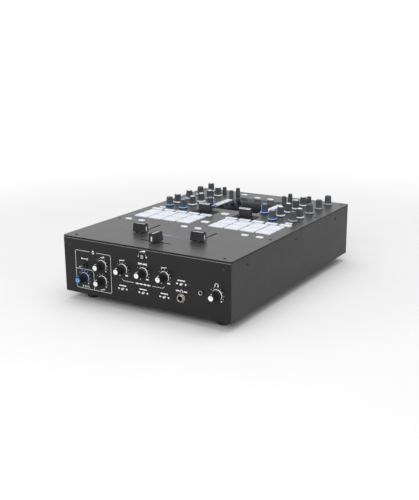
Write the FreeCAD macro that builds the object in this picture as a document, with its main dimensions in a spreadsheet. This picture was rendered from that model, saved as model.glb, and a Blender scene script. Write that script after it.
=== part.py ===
"""A two-channel scratch mixer: sheet casing, control plate, faders, paddles, pads, keys and knobs.

Lengths are millimetres. The origin is on the surface that the mixer stands on, under the middle of
its whole length, knobs and sockets included. +X is the player's right, +Y runs to the rear and +Z
is up.
"""

import math
import os

import FreeCAD
import Part
import Sketcher

UP = FreeCAD.Vector(0, 0, 1)
FORWARD = FreeCAD.Vector(0, -1, 0)
REARWARD = FreeCAD.Vector(0, 1, 0)
SIDES = {"left": -1, "right": 1}

SIZES = {
    # Casing
    "foot_height": 12.0,
    "foot_radius": 9.0,
    "foot_inset": 27.0,
    "body_height": 80.0,
    "plate_thickness": 2.0,
    "plate_overhang": 1.0,
    "plate_corner": 4.0,
    "pan_wall": 1.5,
    "pan_flange": 9.0,
    "front_thickness": 2.5,
    "front_round": 1.8,
    "rear_thickness": 1.5,
    "side_margin": 26.3,
    "rear_margin": 21.5,
    # Clearances
    "shaft_gap": 0.5,
    "shaft_end_gap": 0.3,
    "knob_lift": 0.5,
    "key_gap": 0.4,
    "stem_gap": 0.6,
    "pin_gap": 0.4,
    "paddle_gap": 0.6,
    "rocker_gap": 0.5,
    "seat_gap": 0.3,
    # Knobs
    "skirt_radius": 6.5,
    "skirt_height": 2.4,
    "knob_radius": 5.5,
    "knob_tip_radius": 4.2,
    "knob_height": 15.0,
    "slim_radius": 3.7,
    "slim_tip_radius": 3.3,
    "slim_height": 14.0,
    "selector_height": 11.5,
    "rib_share": 0.91,
    "shaft_radius": 3.0,
    "tension_radius": 2.6,
    "tension_height": 0.8,
    # Knob columns and rows
    "column_setback": 9.8,
    "column_pitch": 29.7,
    "filter_setback": 23.5,
    "knob_pitch": 26.4,
    "selector_setback": 21.4,
    "side_setback": 6.0,
    "side_first_pitch": 23.0,
    "side_pitch": 34.5,
    "depth_setback": 36.0,
    "loop_setback": 12.0,
    "browse_setback": 22.0,
    # Faders
    "crossfader_setback": 32.5,
    "fader_setback": 30.5,
    "fader_column": 47.0,
    "fader_travel": 45.0,
    "cap_width": 20.0,
    "cap_base": 9.6,
    "cap_top": 8.0,
    "cap_height": 12.0,
    "cap_dip": 1.2,
    "cap_lift": 1.2,
    "stem_length": 4.0,
    "stem_thickness": 1.4,
    "stem_depth": 8.0,
    "fader_unit_width": 13.0,
    "fader_unit_end": 10.0,
    "fader_unit_height": 12.0,
    # Pads and keys
    "pads_setback": 19.25,
    "pads_start": 15.85,
    "pad_width": 22.9,
    "pad_depth": 22.3,
    "pad_space": 2.2,
    "pad_rise": 1.5,
    "pad_chamfer": 0.5,
    "pad_lip": 1.0,
    "pad_lip_thickness": 1.2,
    "key_rise": 1.4,
    "key_chamfer": 0.3,
    "key_drop": 5.0,
    "mode_setback": 9.25,
    "mode_pitch": 22.0,
    "mode_width": 18.0,
    "mode_depth": 8.0,
    "cue_setback": 11.0,
    "cue_inner": 11.5,
    "cue_middle": 86.2,
    "cue_outer": 109.0,
    "cue_width": 10.0,
    "cue_depth": 6.0,
    "censor_setback": 12.5,
    "fx_setback": 14.0,
    "fx_pitch": 8.0,
    "fx_space": 2.0,
    "fx_width": 10.0,
    "fx_depth": 5.4,
    "centre_setback": 38.0,
    "centre_width": 12.0,
    "centre_depth": 8.0,
    "load_setback": 10.0,
    "load_column": 12.0,
    "back_setback": 13.0,
    "back_column": 43.0,
    # Screen and paddles
    "screen_width": 76.0,
    "screen_depth": 86.0,
    "screen_setback": 30.0,
    "screen_lip": 1.2,
    "screen_module": 5.0,
    "paddle_setback": 19.5,
    "paddle_column": 35.0,
    "paddle_width": 19.0,
    "paddle_height": 12.4,
    "paddle_top": 6.4,
    "paddle_hub": 2.8,
    "paddle_pin": 1.5,
    "paddle_pin_length": 4.0,
    "pivot_depth": 4.6,
    "bezel_width": 33.0,
    "bezel_depth": 17.0,
    "bezel_opening": 12.0,
    "bezel_lip": 1.5,
    "bezel_rise": 0.8,
    "bezel_floor": 1.0,
    # Front panel, with drops measured down from the plate's top
    "contour_pitch": 33.5,
    "contour_drop": 35.0,
    "tension_drop": 12.7,
    "switch_drop": 62.0,
    "mic_column": 68.2,
    "mic_level_drop": 35.0,
    "mic_tone_drop": 57.0,
    "mic_echo_column": 99.2,
    "toggle_column": 97.5,
    "toggle_drop": 38.5,
    "phones_column": 60.0,
    "phones_drop": 58.5,
    "cue_switch_drop": 40.0,
    "mini_column": 89.5,
    "mini_drop": 46.4,
    "phones_knob_column": 112.0,
    "phones_knob_drop": 46.0,
    "toggle_reach": 11.0,
    "toggle_radius": 1.2,
    "toggle_hub": 1.9,
    "switch_travel": 3.0,
    "switch_nub": 3.0,
    "switch_height": 3.4,
    "switch_rise": 2.2,
    "switch_body": 6.0,
    # Sockets
    "jack_bore": 3.2,
    "jack_nut": 5.6,
    "jack_nut_depth": 2.4,
    "jack_bush": 4.6,
    "jack_body": 14.0,
    "jack_depth": 26.0,
    "mini_bore": 1.8,
    "mini_nut": 5.4,
    "mini_bush": 3.0,
    "mini_body": 9.0,
    "mini_depth": 14.0,
    "toggle_bore": 2.4,
    "toggle_nut": 4.4,
    "toggle_bush": 3.3,
    "toggle_body": 10.0,
    "toggle_depth": 9.0,
    "rca_radius": 4.15,
    "rca_bore": 1.7,
    "rca_length": 9.0,
    "rca_pitch": 15.0,
    "rca_block": 30.0,
    "rca_column": 30.0,
    "xlr_bore": 9.4,
    "xlr_block": 23.0,
    "xlr_lip": 2.5,
    "xlr_depth": 16.0,
    "usb_width": 8.6,
    "usb_height": 7.9,
    "usb_wall": 1.4,
    "usb_depth": 10.0,
    "inlet_width": 24.5,
    "inlet_height": 17.0,
    "inlet_wall": 1.8,
    "inlet_depth": 18.0,
    "socket_lip": 1.2,
    "socket_back": 2.0,
    "rear_row": 42.0,
    "trs_space": 6.0,
    "xlr_space": 3.0,
    "usb_space": 5.0,
    "usb_spacing": 17.0,
    "inlet_space": 15.0,
    "rocker_width": 9.0,
    "rocker_height": 15.0,
    "rocker_rise": 2.4,
    "rocker_depth": 4.0,
    "rocker_drop": 16.0,
    "ground_radius": 3.0,
    "ground_length": 7.0,
    # Inside
    "board_drop": 7.0,
    "board_thickness": 1.6,
    "board_margin": 9.0,
    "pot_size": 10.0,
    "supply_width": 110.0,
    "supply_depth": 62.0,
    "supply_height": 34.0,
    "supply_setback": 62.0,
}

RIBS = 8
FLATS = 8
NUT_FLATS = 2 * FLATS
PAD_COLUMNS = 4
PAD_ROWS = 2
MODE_KEYS = 5
FX_KEYS = 6
CHANNEL_KNOBS = ("filter", "low", "mid", "high", "gain")

doc = FreeCAD.newDocument("scratch_mixer")
sheet = doc.addObject("Spreadsheet::Sheet", "sizes")


class Term:
    """A size that holds both its number and the formula that the document works it out with."""

    def __init__(self, value, formula):
        self.value = value
        self.formula = formula

    def joined(self, sign, other, value):
        return Term(value, f"({self.formula} {sign} {term(other).formula})")

    def __add__(self, other):
        return self.joined("+", other, self.value + term(other).value)

    def __sub__(self, other):
        return self.joined("-", other, self.value - term(other).value)

    def __mul__(self, other):
        return self.joined("*", other, self.value * term(other).value)

    def __truediv__(self, other):
        return self.joined("/", other, self.value / term(other).value)

    def __neg__(self):
        return self * -1

    def __radd__(self, other):
        return term(other) + self

    def __rsub__(self, other):
        return term(other) - self

    def __rmul__(self, other):
        return term(other) * self


def term(value):
    return value if isinstance(value, Term) else Term(float(value), f"{float(value):.9f}")


class Dimensions:
    """The driving sizes by name, each one a cell of the sheet."""

    def __init__(self, sizes):
        for row, (name, value) in enumerate(sizes.items(), start=1):
            sheet.set(f"A{row}", name)
            sheet.set(f"B{row}", str(value))
            sheet.setAlias(f"B{row}", name)
            setattr(self, name, Term(value, f"sizes.{name}"))


dim = Dimensions(SIZES)
doc.recompute()

# Heights
pan_bottom = dim.foot_height
plate_top = dim.foot_height + dim.body_height
plate_bottom = plate_top - dim.plate_thickness
board_top = plate_bottom - dim.board_drop

# Columns, measured from the middle
inner_column = dim.screen_width / 2 + dim.column_setback
middle_column = inner_column + dim.column_pitch
outer_column = middle_column + dim.column_pitch
fx_column = dim.screen_width / 2 + dim.fx_space + dim.fx_width / 2
pad_pitch_x = dim.pad_width + dim.pad_space
pad_pitch_y = dim.pad_depth + dim.pad_space
body_width = 2 * (outer_column + dim.side_margin)
pan_width = body_width - 2 * dim.plate_overhang

# Rows, measured from the plate's front edge
crossfader_row = dim.crossfader_setback
fader_row = crossfader_row + dim.fader_setback
cue_row = fader_row + dim.fader_travel + dim.cue_setback
pads_row = cue_row + dim.pads_setback + dim.pad_depth / 2
pads_end = pads_row + pad_pitch_y + dim.pad_depth / 2
mode_row = pads_end + dim.mode_setback
censor_row = mode_row + dim.censor_setback
paddle_row = mode_row + dim.paddle_setback
filter_row = mode_row + dim.filter_setback
gain_row = filter_row + (len(CHANNEL_KNOBS) - 1) * dim.knob_pitch
selector_row = gain_row + dim.selector_setback
side_rows = [filter_row + dim.side_setback]
side_rows.append(side_rows[0] + dim.side_first_pitch)
for _ in range(3):
    side_rows.append(side_rows[-1] + dim.side_pitch)
depth_row = paddle_row + dim.depth_setback
fx_row = depth_row + dim.fx_setback
loop_row = fx_row + (FX_KEYS - 1) * dim.fx_pitch + dim.loop_setback
browse_row = loop_row + dim.browse_setback
screen_row = paddle_row + dim.screen_setback + dim.screen_depth / 2
load_row = screen_row + dim.screen_depth / 2 + dim.load_setback
back_row = browse_row + dim.back_setback
body_depth = side_rows[-1] + dim.rear_margin


def from_front(row):
    """The Y place of a row that is measured from the plate's front edge."""
    return row - body_depth / 2 + (dim.knob_height - dim.rca_length) / 2


front_face = from_front(dim.plate_overhang)
front_inside = front_face + dim.front_thickness
rear_face = from_front(body_depth - dim.plate_overhang)
rear_inside = rear_face - dim.rear_thickness


def bind(feature, name, value):
    feature.setExpression(name, term(value).formula)


def place(feature, x, y, z, turn=None):
    """Sets a feature's place from three sizes, after an optional fixed turn."""
    if turn is not None:
        feature.Placement = FreeCAD.Placement(FreeCAD.Vector(), turn)
    for axis, value in zip("xyz", (x, y, z)):
        bind(feature, f"Placement.Base.{axis}", value)


def new_body(name):
    return doc.addObject("PartDesign::Body", name)


def new_sketch(body, plane, lift=0):
    """A sketch on one of the body's own planes, lifted along that plane's normal."""
    planes = {feature.Role: feature for feature in body.Origin.OriginFeatures}
    sketch = body.newObject("Sketcher::SketchObject", f"{body.Name}_sketch")
    sketch.AttachmentSupport = (planes[f"{plane}_Plane"], [""])
    sketch.MapMode = "FlatFace"
    bind(sketch, "AttachmentOffset.Base.z", lift)
    return sketch


def point_rules(geometry, point, across, along):
    """The two rules, with their sizes, that tie a sketch point to the sketch's origin."""
    sizes = (("DistanceX", across), ("DistanceY", along))
    return [
        (Sketcher.Constraint(kind, -1, 1, geometry, point, term(value).value), value)
        for kind, value in sizes
    ]


def add_rules(sketch, rules):
    """Adds rules in one step, and binds those that have a size to it."""
    first = sketch.ConstraintCount
    sketch.addConstraint([rule for rule, _ in rules])
    for number, (_, value) in enumerate(rules, start=first):
        if value is not None:
            bind(sketch, f"Constraints[{number}]", value)


def draw_polygon(sketch, points):
    first = sketch.GeometryCount
    places = [FreeCAD.Vector(term(a).value, term(b).value, 0) for a, b in points]
    sides = [Part.LineSegment(a, b) for a, b in zip(places, places[1:] + places[:1])]
    sketch.addGeometry(sides, False)
    rules = []
    for number, (across, along) in enumerate(points):
        after = first + (number + 1) % len(points)
        meeting = Sketcher.Constraint("Coincident", first + number, 2, after, 1)
        rules.append((meeting, None))
        rules += point_rules(first + number, 1, across, along)
    add_rules(sketch, rules)


def draw_rectangle(sketch, x, y, width, depth):
    draw_polygon(
        sketch,
        [
            (x - width / 2, y - depth / 2),
            (x + width / 2, y - depth / 2),
            (x + width / 2, y + depth / 2),
            (x - width / 2, y + depth / 2),
        ],
    )


def draw_circle(sketch, x, y, radius):
    centre = FreeCAD.Vector(term(x).value, term(y).value, 0)
    number = sketch.addGeometry(Part.Circle(centre, UP, term(radius).value), False)
    rules = point_rules(number, 3, x, y)
    rules.append((Sketcher.Constraint("Radius", number, term(radius).value), radius))
    add_rules(sketch, rules)


def ring_points(radii, count, x=0, y=0):
    """Corners spread evenly round a point, at a radius that steps through the radii given."""
    points = []
    for number in range(count * len(radii)):
        angle = 2 * math.pi * number / (count * len(radii))
        radius = radii[number % len(radii)]
        points.append((x + radius * math.cos(angle), y + radius * math.sin(angle)))
    return points


def draw_flats(sketch, x, y, radius):
    """A flat-sided hole that clears a radius all round."""
    draw_polygon(sketch, ring_points((radius / math.cos(math.pi / FLATS),), FLATS, x, y))


def pad(body, sketch, length, side="One side", downward=False):
    feature = body.newObject("PartDesign::Pad", f"{body.Name}_pad")
    feature.Profile = (sketch, [""])
    feature.SideType = side
    feature.Reversed = downward
    bind(feature, "Length", length)
    return feature


def pocket(body, sketch, length=None):
    """Cuts both ways from the sketch: right through the body, or to a whole length given."""
    feature = body.newObject("PartDesign::Pocket", f"{body.Name}_pocket")
    feature.Profile = (sketch, [""])
    feature.SideType = "Symmetric"
    if length is None:
        feature.Type = "ThroughAll"
    else:
        bind(feature, "Length", length)
    return feature


def edges_where(feature, test):
    """Names of a feature's edges that pass the test."""
    doc.recompute()
    edges = enumerate(feature.Shape.Edges, start=1)
    return [f"Edge{number}" for number, edge in edges if test(edge)]


def lies_at(edge, height):
    return all(abs(corner.Z - height.value) < 1e-6 for corner in edge.Vertexes)


def runs_along(edge, axis):
    return abs(getattr(edge.tangentAt(edge.FirstParameter), axis)) > 0.5


def soften(body, kind, feature, size_name, size, test):
    """Rounds or chamfers the edges of a feature that pass the test."""
    softened = body.newObject(f"PartDesign::{kind}", f"{body.Name}_{kind.lower()}")
    softened.Base = (feature, edges_where(feature, test))
    bind(softened, size_name, size)
    return softened


def box(name, width, depth, height, x, y, z):
    """A block centred on x and y, standing on height z."""
    block = doc.addObject("Part::Box", name)
    for side, value in zip(("Length", "Width", "Height"), (width, depth, height)):
        bind(block, side, value)
    place(block, x - term(width) / 2, y - term(depth) / 2, z)
    return block


def rod(name, radius, length, x, y, z, along=UP):
    bar = doc.addObject("Part::Cylinder", name)
    bind(bar, "Radius", radius)
    bind(bar, "Height", length)
    place(bar, x, y, z, FreeCAD.Rotation(UP, along))
    return bar


def flat_rod(name, radius, length, x, y, z, along=UP, flats=FLATS):
    """A bar with flat sides that clear a radius all round."""
    bar = doc.addObject("Part::Prism", name)
    bar.Polygon = flats
    bind(bar, "Circumradius", radius / math.cos(math.pi / flats))
    bind(bar, "Height", length)
    place(bar, x, y, z, FreeCAD.Rotation(UP, along))
    return bar


def group(name, members):
    bunch = doc.addObject("Part::Compound", name)
    bunch.Links = members
    return bunch


def copy_at(name, pattern, x, y, z, turn=None):
    """One more piece of a pattern, at its own place."""
    piece = group(name, [pattern])
    place(piece, x, y, z, turn)
    return piece


def joined(name, members):
    union = doc.addObject("Part::MultiFuse", name)
    union.Shapes = members
    return union


def minus(name, base, tools):
    result = doc.addObject("Part::Cut", name)
    result.Base = base
    result.Tool = tools[0] if len(tools) == 1 else group(f"{name}_tools", tools)
    return result


# Keys: each cell is (x, y, kind) on the plate, and each kind has a width and a depth
KEY_SIZES = {
    "pad": (dim.pad_width, dim.pad_depth),
    "mode": (dim.mode_width, dim.mode_depth),
    "fx": (dim.fx_width, dim.fx_depth),
    "cue": (dim.cue_width, dim.cue_depth),
    "centre": (dim.centre_width, dim.centre_depth),
}


def key_cell(x, row, kind):
    return (term(x), from_front(row), kind)


def pad_cells(way):
    cells = []
    for column in range(PAD_COLUMNS):
        x = dim.pads_start + dim.pad_width / 2 + column * pad_pitch_x
        for row in range(PAD_ROWS):
            y_row = pads_row + row * pad_pitch_y
            cells.append(key_cell(way * x, y_row, "pad"))
    return cells


def side_key_cells(way):
    cells = []
    for number in range(1, MODE_KEYS + 1):
        x = way * number * dim.mode_pitch
        cells.append(key_cell(x, mode_row, "mode"))
    for number in range(FX_KEYS):
        row = fx_row + number * dim.fx_pitch
        cells.append(key_cell(way * fx_column, row, "fx"))
    for column in (dim.cue_inner, dim.cue_middle, dim.cue_outer):
        cells.append(key_cell(way * column, cue_row, "cue"))
    cells.append(key_cell(way * dim.cue_outer, censor_row, "cue"))
    return cells


def centre_key_cells():
    cells = [
        key_cell(0, cue_row + dim.centre_setback, "centre"),
        key_cell(0, paddle_row, "centre"),
    ]
    for way in SIDES.values():
        cells.append(key_cell(way * dim.load_column, load_row, "cue"))
        cells.append(key_cell(way * dim.back_column, back_row, "cue"))
    return cells


def key_pattern(name, width, depth, rise, chamfer, lip=None):
    """One key that stands through the plate, with a retaining lip under it where one is given."""
    body = new_body(name)
    top = dim.key_drop + rise
    sketch = new_sketch(body, "XY")
    draw_rectangle(sketch, term(0), term(0), width, depth)
    block = pad(body, sketch, top)
    soften(body, "Chamfer", block, "Size", chamfer, lambda edge: lies_at(edge, top))
    if lip is not None:
        lip_top = dim.key_drop - dim.plate_thickness - dim.key_gap
        base = new_sketch(body, "XY", lip_top - dim.pad_lip_thickness)
        draw_rectangle(base, term(0), term(0), width + lip, depth + lip)
        pad(body, base, dim.pad_lip_thickness)
    return body


def keys(name, cells, patterns):
    """A set of keys, each a copy of the pattern for its size."""
    made = []
    for number, (x, y, kind) in enumerate(cells):
        height = plate_top - dim.key_drop
        made.append(copy_at(f"{name}_{number}", patterns[kind], x, y, height))
    return group(name, made)


# Knobs
def knob_pattern(name, radius, tip_radius, height, skirted):
    """A ribbed, tapered knob on its splined shaft, with its foot on the plate's level at z 0."""
    body = new_body(name)
    rings = [(radius, dim.knob_lift), (tip_radius, height)]
    if skirted:
        rings = [
            (dim.skirt_radius, dim.knob_lift),
            (radius, dim.knob_lift + dim.skirt_height),
            (tip_radius, height),
        ]
    for lower, upper in zip(rings, rings[1:]):
        outlines = []
        for ring_radius, lift in (lower, upper):
            outline = new_sketch(body, "XY", lift)
            draw_polygon(outline, ring_points((ring_radius, ring_radius * dim.rib_share), RIBS))
            outlines.append(outline)
        form = body.newObject("PartDesign::AdditiveLoft", f"{name}_form")
        form.Profile = outlines[0]
        form.Sections = outlines[1:]
        form.Ruled = True
    shaft = new_sketch(body, "XY", dim.knob_lift)
    draw_polygon(shaft, ring_points((dim.shaft_radius,), FLATS))
    length = dim.knob_lift + dim.plate_thickness - dim.shaft_end_gap
    pad(body, shaft, length, downward=True)
    return body


def tension_pattern():
    """The bare slotted shaft that sets how freely the crossfader slides."""
    body = new_body("tension_pattern")
    sketch = new_sketch(body, "XY", -(dim.front_thickness - dim.shaft_end_gap))
    draw_circle(sketch, 0, 0, dim.tension_radius)
    pad(body, sketch, dim.tension_height + dim.front_thickness - dim.shaft_end_gap)
    slot = new_sketch(body, "XY", dim.tension_height)
    draw_rectangle(slot, term(0), term(0), 3 * dim.tension_radius, dim.tension_radius / 3)
    pocket(body, slot, dim.tension_radius / 2)
    return body


# Every plate knob: name, kind, x and row
def plate_knobs():
    knobs = []
    for side, way in SIDES.items():
        for number, name in enumerate(CHANNEL_KNOBS):
            row = filter_row + number * dim.knob_pitch
            knobs.append((f"{side}_{name}_knob", "knob", way * middle_column, row))
        knobs.append((f"{side}_selector_knob", "selector", way * middle_column, selector_row))
        for number, row in enumerate(side_rows, start=1):
            knobs.append((f"{side}_side_knob_{number}", "knob", way * outer_column, row))
        knobs.append((f"{side}_depth_knob", "knob", way * inner_column, depth_row))
        knobs.append((f"{side}_loop_knob", "slim", way * inner_column, loop_row))
        knobs.append((f"{side}_browse_knob", "slim", way * inner_column, browse_row))
    return knobs


# Every front knob: name, kind, x and drop below the plate's top
FRONT_KNOBS = [
    ("mic_level_knob", "knob", -dim.mic_column, dim.mic_level_drop),
    ("mic_tone_knob", "knob", -dim.mic_column, dim.mic_tone_drop),
    ("mic_echo_knob", "knob", -dim.mic_echo_column, dim.mic_tone_drop),
    ("left_contour_knob", "knob", -dim.contour_pitch, dim.contour_drop),
    ("cross_contour_knob", "knob", term(0), dim.contour_drop),
    ("right_contour_knob", "knob", dim.contour_pitch, dim.contour_drop),
    ("phones_knob", "knob", dim.phones_knob_column, dim.phones_knob_drop),
    ("tension_knob", "tension", term(0), dim.tension_drop),
]
SWITCHES = [
    (-dim.contour_pitch, dim.switch_drop),
    (term(0), dim.switch_drop),
    (dim.contour_pitch, dim.switch_drop),
    (dim.phones_column, dim.cue_switch_drop),
]


def make_knobs():
    patterns = {
        "knob": knob_pattern(
            "knob_pattern", dim.knob_radius, dim.knob_tip_radius, dim.knob_height, True
        ),
        "slim": knob_pattern(
            "slim_pattern", dim.slim_radius, dim.slim_tip_radius, dim.slim_height, False
        ),
        "selector": knob_pattern(
            "selector_pattern", dim.slim_radius, dim.slim_tip_radius, dim.selector_height, False
        ),
        "tension": tension_pattern(),
    }
    facing = FreeCAD.Rotation(UP, FORWARD)
    made = []
    for name, kind, x, row in plate_knobs():
        made.append(copy_at(name, patterns[kind], x, from_front(row), plate_top))
    for name, kind, x, drop in FRONT_KNOBS:
        made.append(copy_at(name, patterns[kind], x, front_face, plate_top - drop, facing))
    return made


# Faders
def fader_cap_pattern():
    """A tapered cap with a dished top on its flat stem, which slides along X."""
    body = new_body("cap_pattern")
    top = dim.cap_lift + dim.cap_height
    profile = new_sketch(body, "XZ")
    draw_polygon(
        profile,
        [
            (-dim.cap_base / 2, dim.cap_lift),
            (dim.cap_base / 2, dim.cap_lift),
            (dim.cap_top / 2, top),
            (dim.cap_top / 6, top - dim.cap_dip / 2),
            (-dim.cap_top / 6, top - dim.cap_dip / 2),
            (-dim.cap_top / 2, top),
        ],
    )
    pad(body, profile, dim.cap_width, "Symmetric")
    stem = new_sketch(body, "XY", dim.cap_lift)
    draw_rectangle(stem, term(0), term(0), dim.stem_length, dim.stem_thickness)
    pad(body, stem, dim.cap_lift + dim.plate_thickness + dim.stem_depth, downward=True)
    return body


def fader_slot_length():
    return dim.fader_travel + dim.stem_length + 2 * dim.stem_gap


def fader_slot_width():
    return dim.stem_thickness + 2 * dim.stem_gap


def fader_unit(name, x, y, across):
    """The sliding resistor under a slot: a long case, open along its top for the stem."""
    long_side = fader_slot_length() + 2 * dim.fader_unit_end
    well = dim.stem_depth + dim.seat_gap
    case_size = (long_side, dim.fader_unit_width)
    well_size = (fader_slot_length(), fader_slot_width())
    if not across:
        case_size = case_size[::-1]
        well_size = well_size[::-1]
    bottom = plate_bottom - dim.fader_unit_height
    case = box(f"{name}_case", *case_size, dim.fader_unit_height, x, y, bottom)
    opening = box(f"{name}_well", *well_size, well, x, y, plate_bottom - well)
    return minus(name, case, [opening])


def fader_units():
    units = [fader_unit("crossfader_unit", term(0), from_front(crossfader_row), True)]
    for side, way in SIDES.items():
        y = from_front(fader_row + dim.fader_travel / 2)
        units.append(fader_unit(f"{side}_fader_unit", way * dim.fader_column, y, False))
    return units


def make_fader_caps():
    pattern = fader_cap_pattern()
    quarter_turn = FreeCAD.Rotation(UP, 90)
    made = [
        copy_at("crossfader_cap", pattern, 0, from_front(crossfader_row), plate_top),
    ]
    for side, way in SIDES.items():
        x = way * dim.fader_column
        name = f"{side}_fader_cap"
        made.append(copy_at(name, pattern, x, from_front(fader_row), plate_top, quarter_turn))
    return made


# Paddles
def paddle_pattern():
    """A lever that stands up from its hub and pins, with the pivot at the origin and along X."""
    body = new_body("paddle_pattern")
    tip = dim.pivot_depth + dim.paddle_height
    lever = new_sketch(body, "YZ")
    round_foot = ring_points((dim.paddle_hub,), 2 * FLATS)[FLATS : 2 * FLATS + 1]
    edge = dim.paddle_top / 6
    head = [
        (dim.paddle_top / 2, tip - edge),
        (dim.paddle_top / 2 - edge, tip),
        (-dim.paddle_top / 2, tip),
    ]
    draw_polygon(lever, round_foot[:-1] + [(dim.paddle_hub, 0)] + head)
    pad(body, lever, dim.paddle_width, "Symmetric")
    pin = new_sketch(body, "YZ")
    draw_polygon(pin, ring_points((dim.paddle_pin,), FLATS))
    pad(body, pin, dim.paddle_width + 2 * dim.paddle_pin_length, "Symmetric")
    return body


def bezel_pattern():
    """The housing that a paddle swings in, with the pivot at the origin and a lip on the plate."""
    body = new_body("bezel_pattern")
    floor = dim.pivot_depth - dim.plate_thickness - dim.board_drop + dim.seat_gap
    block = new_sketch(body, "XY", floor)
    draw_rectangle(block, term(0), term(0), dim.bezel_width, dim.bezel_depth)
    pad(body, block, dim.pivot_depth - floor)
    lip = new_sketch(body, "XY", dim.pivot_depth)
    lip_size = (dim.bezel_width + 2 * dim.bezel_lip, dim.bezel_depth + 2 * dim.bezel_lip)
    draw_rectangle(lip, term(0), term(0), *lip_size)
    pad(body, lip, dim.bezel_rise)
    well = new_sketch(body, "XY", dim.pivot_depth + dim.bezel_rise)
    well_width = dim.paddle_width + 2 * dim.paddle_gap
    draw_rectangle(well, term(0), term(0), well_width, dim.bezel_opening)
    depth = dim.pivot_depth + dim.bezel_rise - floor - dim.bezel_floor
    pocket(body, well, 2 * depth)
    bearing = new_sketch(body, "YZ")
    draw_flats(bearing, 0, 0, dim.paddle_pin + dim.pin_gap)
    pocket(body, bearing, dim.paddle_width + 2 * (dim.paddle_pin_length + dim.pin_gap))
    return body


def make_paddles():
    lever = paddle_pattern()
    housing = bezel_pattern()
    pivot = plate_top - dim.pivot_depth
    made = []
    housings = []
    for side, way in SIDES.items():
        place_of = (way * dim.paddle_column, from_front(paddle_row), pivot)
        made.append(copy_at(f"{side}_paddle", lever, *place_of))
        housings.append(copy_at(f"{side}_bezel", housing, *place_of))
    made.append(group("paddle_bezels", housings))
    return made


# Casing
def make_base_pan():
    """The bent sheet floor and side walls, with flanges turned in under the plate."""
    body = new_body("base_pan")
    half = pan_width / 2
    wall = dim.pan_wall
    top = plate_bottom - pan_bottom
    right = [
        (half, 0),
        (half, top),
        (half - dim.pan_flange, top),
        (half - dim.pan_flange, top - wall),
        (half - wall, top - wall),
        (half - wall, wall),
    ]
    left = [(-across, height) for across, height in reversed(right)]
    profile = new_sketch(body, "XZ")
    draw_polygon(profile, right + left)
    length = rear_inside - front_inside
    sheet_form = pad(body, profile, length, "Symmetric")
    floor = term(0)
    soften(
        body,
        "Fillet",
        sheet_form,
        "Radius",
        wall,
        lambda edge: runs_along(edge, "y") and lies_at(edge, floor),
    )
    place(body, 0, (front_inside + rear_inside) / 2, pan_bottom)
    return body


def plate_openings():
    """The cut-outs of the plate: keys, paddles, screen, fader slots and shaft holes."""
    cells = [(x, y, *KEY_SIZES[kind]) for x, y, kind in centre_key_cells()]
    for way in SIDES.values():
        for x, y, kind in pad_cells(way) + side_key_cells(way):
            cells.append((x, y, *KEY_SIZES[kind]))
        paddle_x = way * dim.paddle_column
        cells.append((paddle_x, from_front(paddle_row), dim.bezel_width, dim.bezel_depth))
    cells.append((term(0), from_front(screen_row), dim.screen_width, dim.screen_depth))
    room = 2 * dim.key_gap
    places = [(x, y, width + room, depth + room) for x, y, width, depth in cells]
    long_side = fader_slot_length()
    short_side = fader_slot_width()
    places.append((term(0), from_front(crossfader_row), long_side, short_side))
    for way in SIDES.values():
        middle = from_front(fader_row + dim.fader_travel / 2)
        places.append((way * dim.fader_column, middle, short_side, long_side))
    tools = []
    for number, (x, y, width, depth) in enumerate(places):
        tools.append(
            box(f"opening_{number}", width, depth, dim.plate_thickness, x, y, plate_bottom)
        )
    hole = dim.shaft_radius + dim.shaft_gap
    for name, _, x, row in plate_knobs():
        tools.append(
            flat_rod(f"{name}_hole", hole, dim.plate_thickness, x, from_front(row), plate_bottom)
        )
    return tools


def make_top_plate():
    """The flat control plate, cut out for everything that shows or moves through it."""
    body = new_body("plate_sheet")
    outline = new_sketch(body, "XY")
    draw_rectangle(outline, term(0), term(0), body_width, body_depth)
    blank = pad(body, outline, dim.plate_thickness)
    upright = lambda edge: runs_along(edge, "z")
    soften(body, "Fillet", blank, "Radius", dim.plate_corner, upright)
    place(body, 0, from_front(body_depth / 2), plate_bottom)
    return minus("top_plate", body, plate_openings())


def panel(name, y, thickness):
    """An upright panel between the pan's floor level and the plate, with its outer face towards -Y."""
    body = new_body(name)
    sketch = new_sketch(body, "XZ", -thickness)
    middle = (plate_bottom + pan_bottom) / 2
    draw_rectangle(sketch, term(0), middle, pan_width, plate_bottom - pan_bottom)
    sheet_form = pad(body, sketch, thickness)
    place(body, 0, y, 0)
    return body, sheet_form


def make_front_panel():
    body, sheet_form = panel("front_panel", front_face, dim.front_thickness)
    soften(
        body,
        "Fillet",
        sheet_form,
        "Radius",
        dim.front_round,
        lambda edge: lies_at(edge, plate_bottom) and edge.BoundBox.YMax < 1e-6,
    )
    openings = new_sketch(body, "XZ")
    for _, kind, x, drop in FRONT_KNOBS:
        radius = dim.tension_radius if kind == "tension" else dim.shaft_radius
        draw_flats(openings, x, plate_top - drop, radius + dim.shaft_gap)
    for _, x, drop, kind in FRONT_JACKS:
        draw_circle(openings, x, plate_top - drop, JACK_SIZES[kind]["bush"] + dim.seat_gap)
    for x, drop in SWITCHES:
        width = dim.switch_nub + dim.switch_travel + 2 * dim.key_gap
        draw_rectangle(openings, x, plate_top - drop, width, dim.switch_height + 2 * dim.key_gap)
    pocket(body, openings)
    return body


def make_rear_panel():
    body, _ = panel("rear_panel", rear_inside, dim.rear_thickness)
    openings = new_sketch(body, "XZ")
    for _, x, z, width, height in rear_blocks():
        draw_rectangle(openings, x, z, width + 2 * dim.seat_gap, height + 2 * dim.seat_gap)
    for _, x, z in rear_round_sockets():
        draw_circle(openings, x, z, dim.jack_bush + dim.seat_gap)
    pocket(body, openings)
    return body


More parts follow.
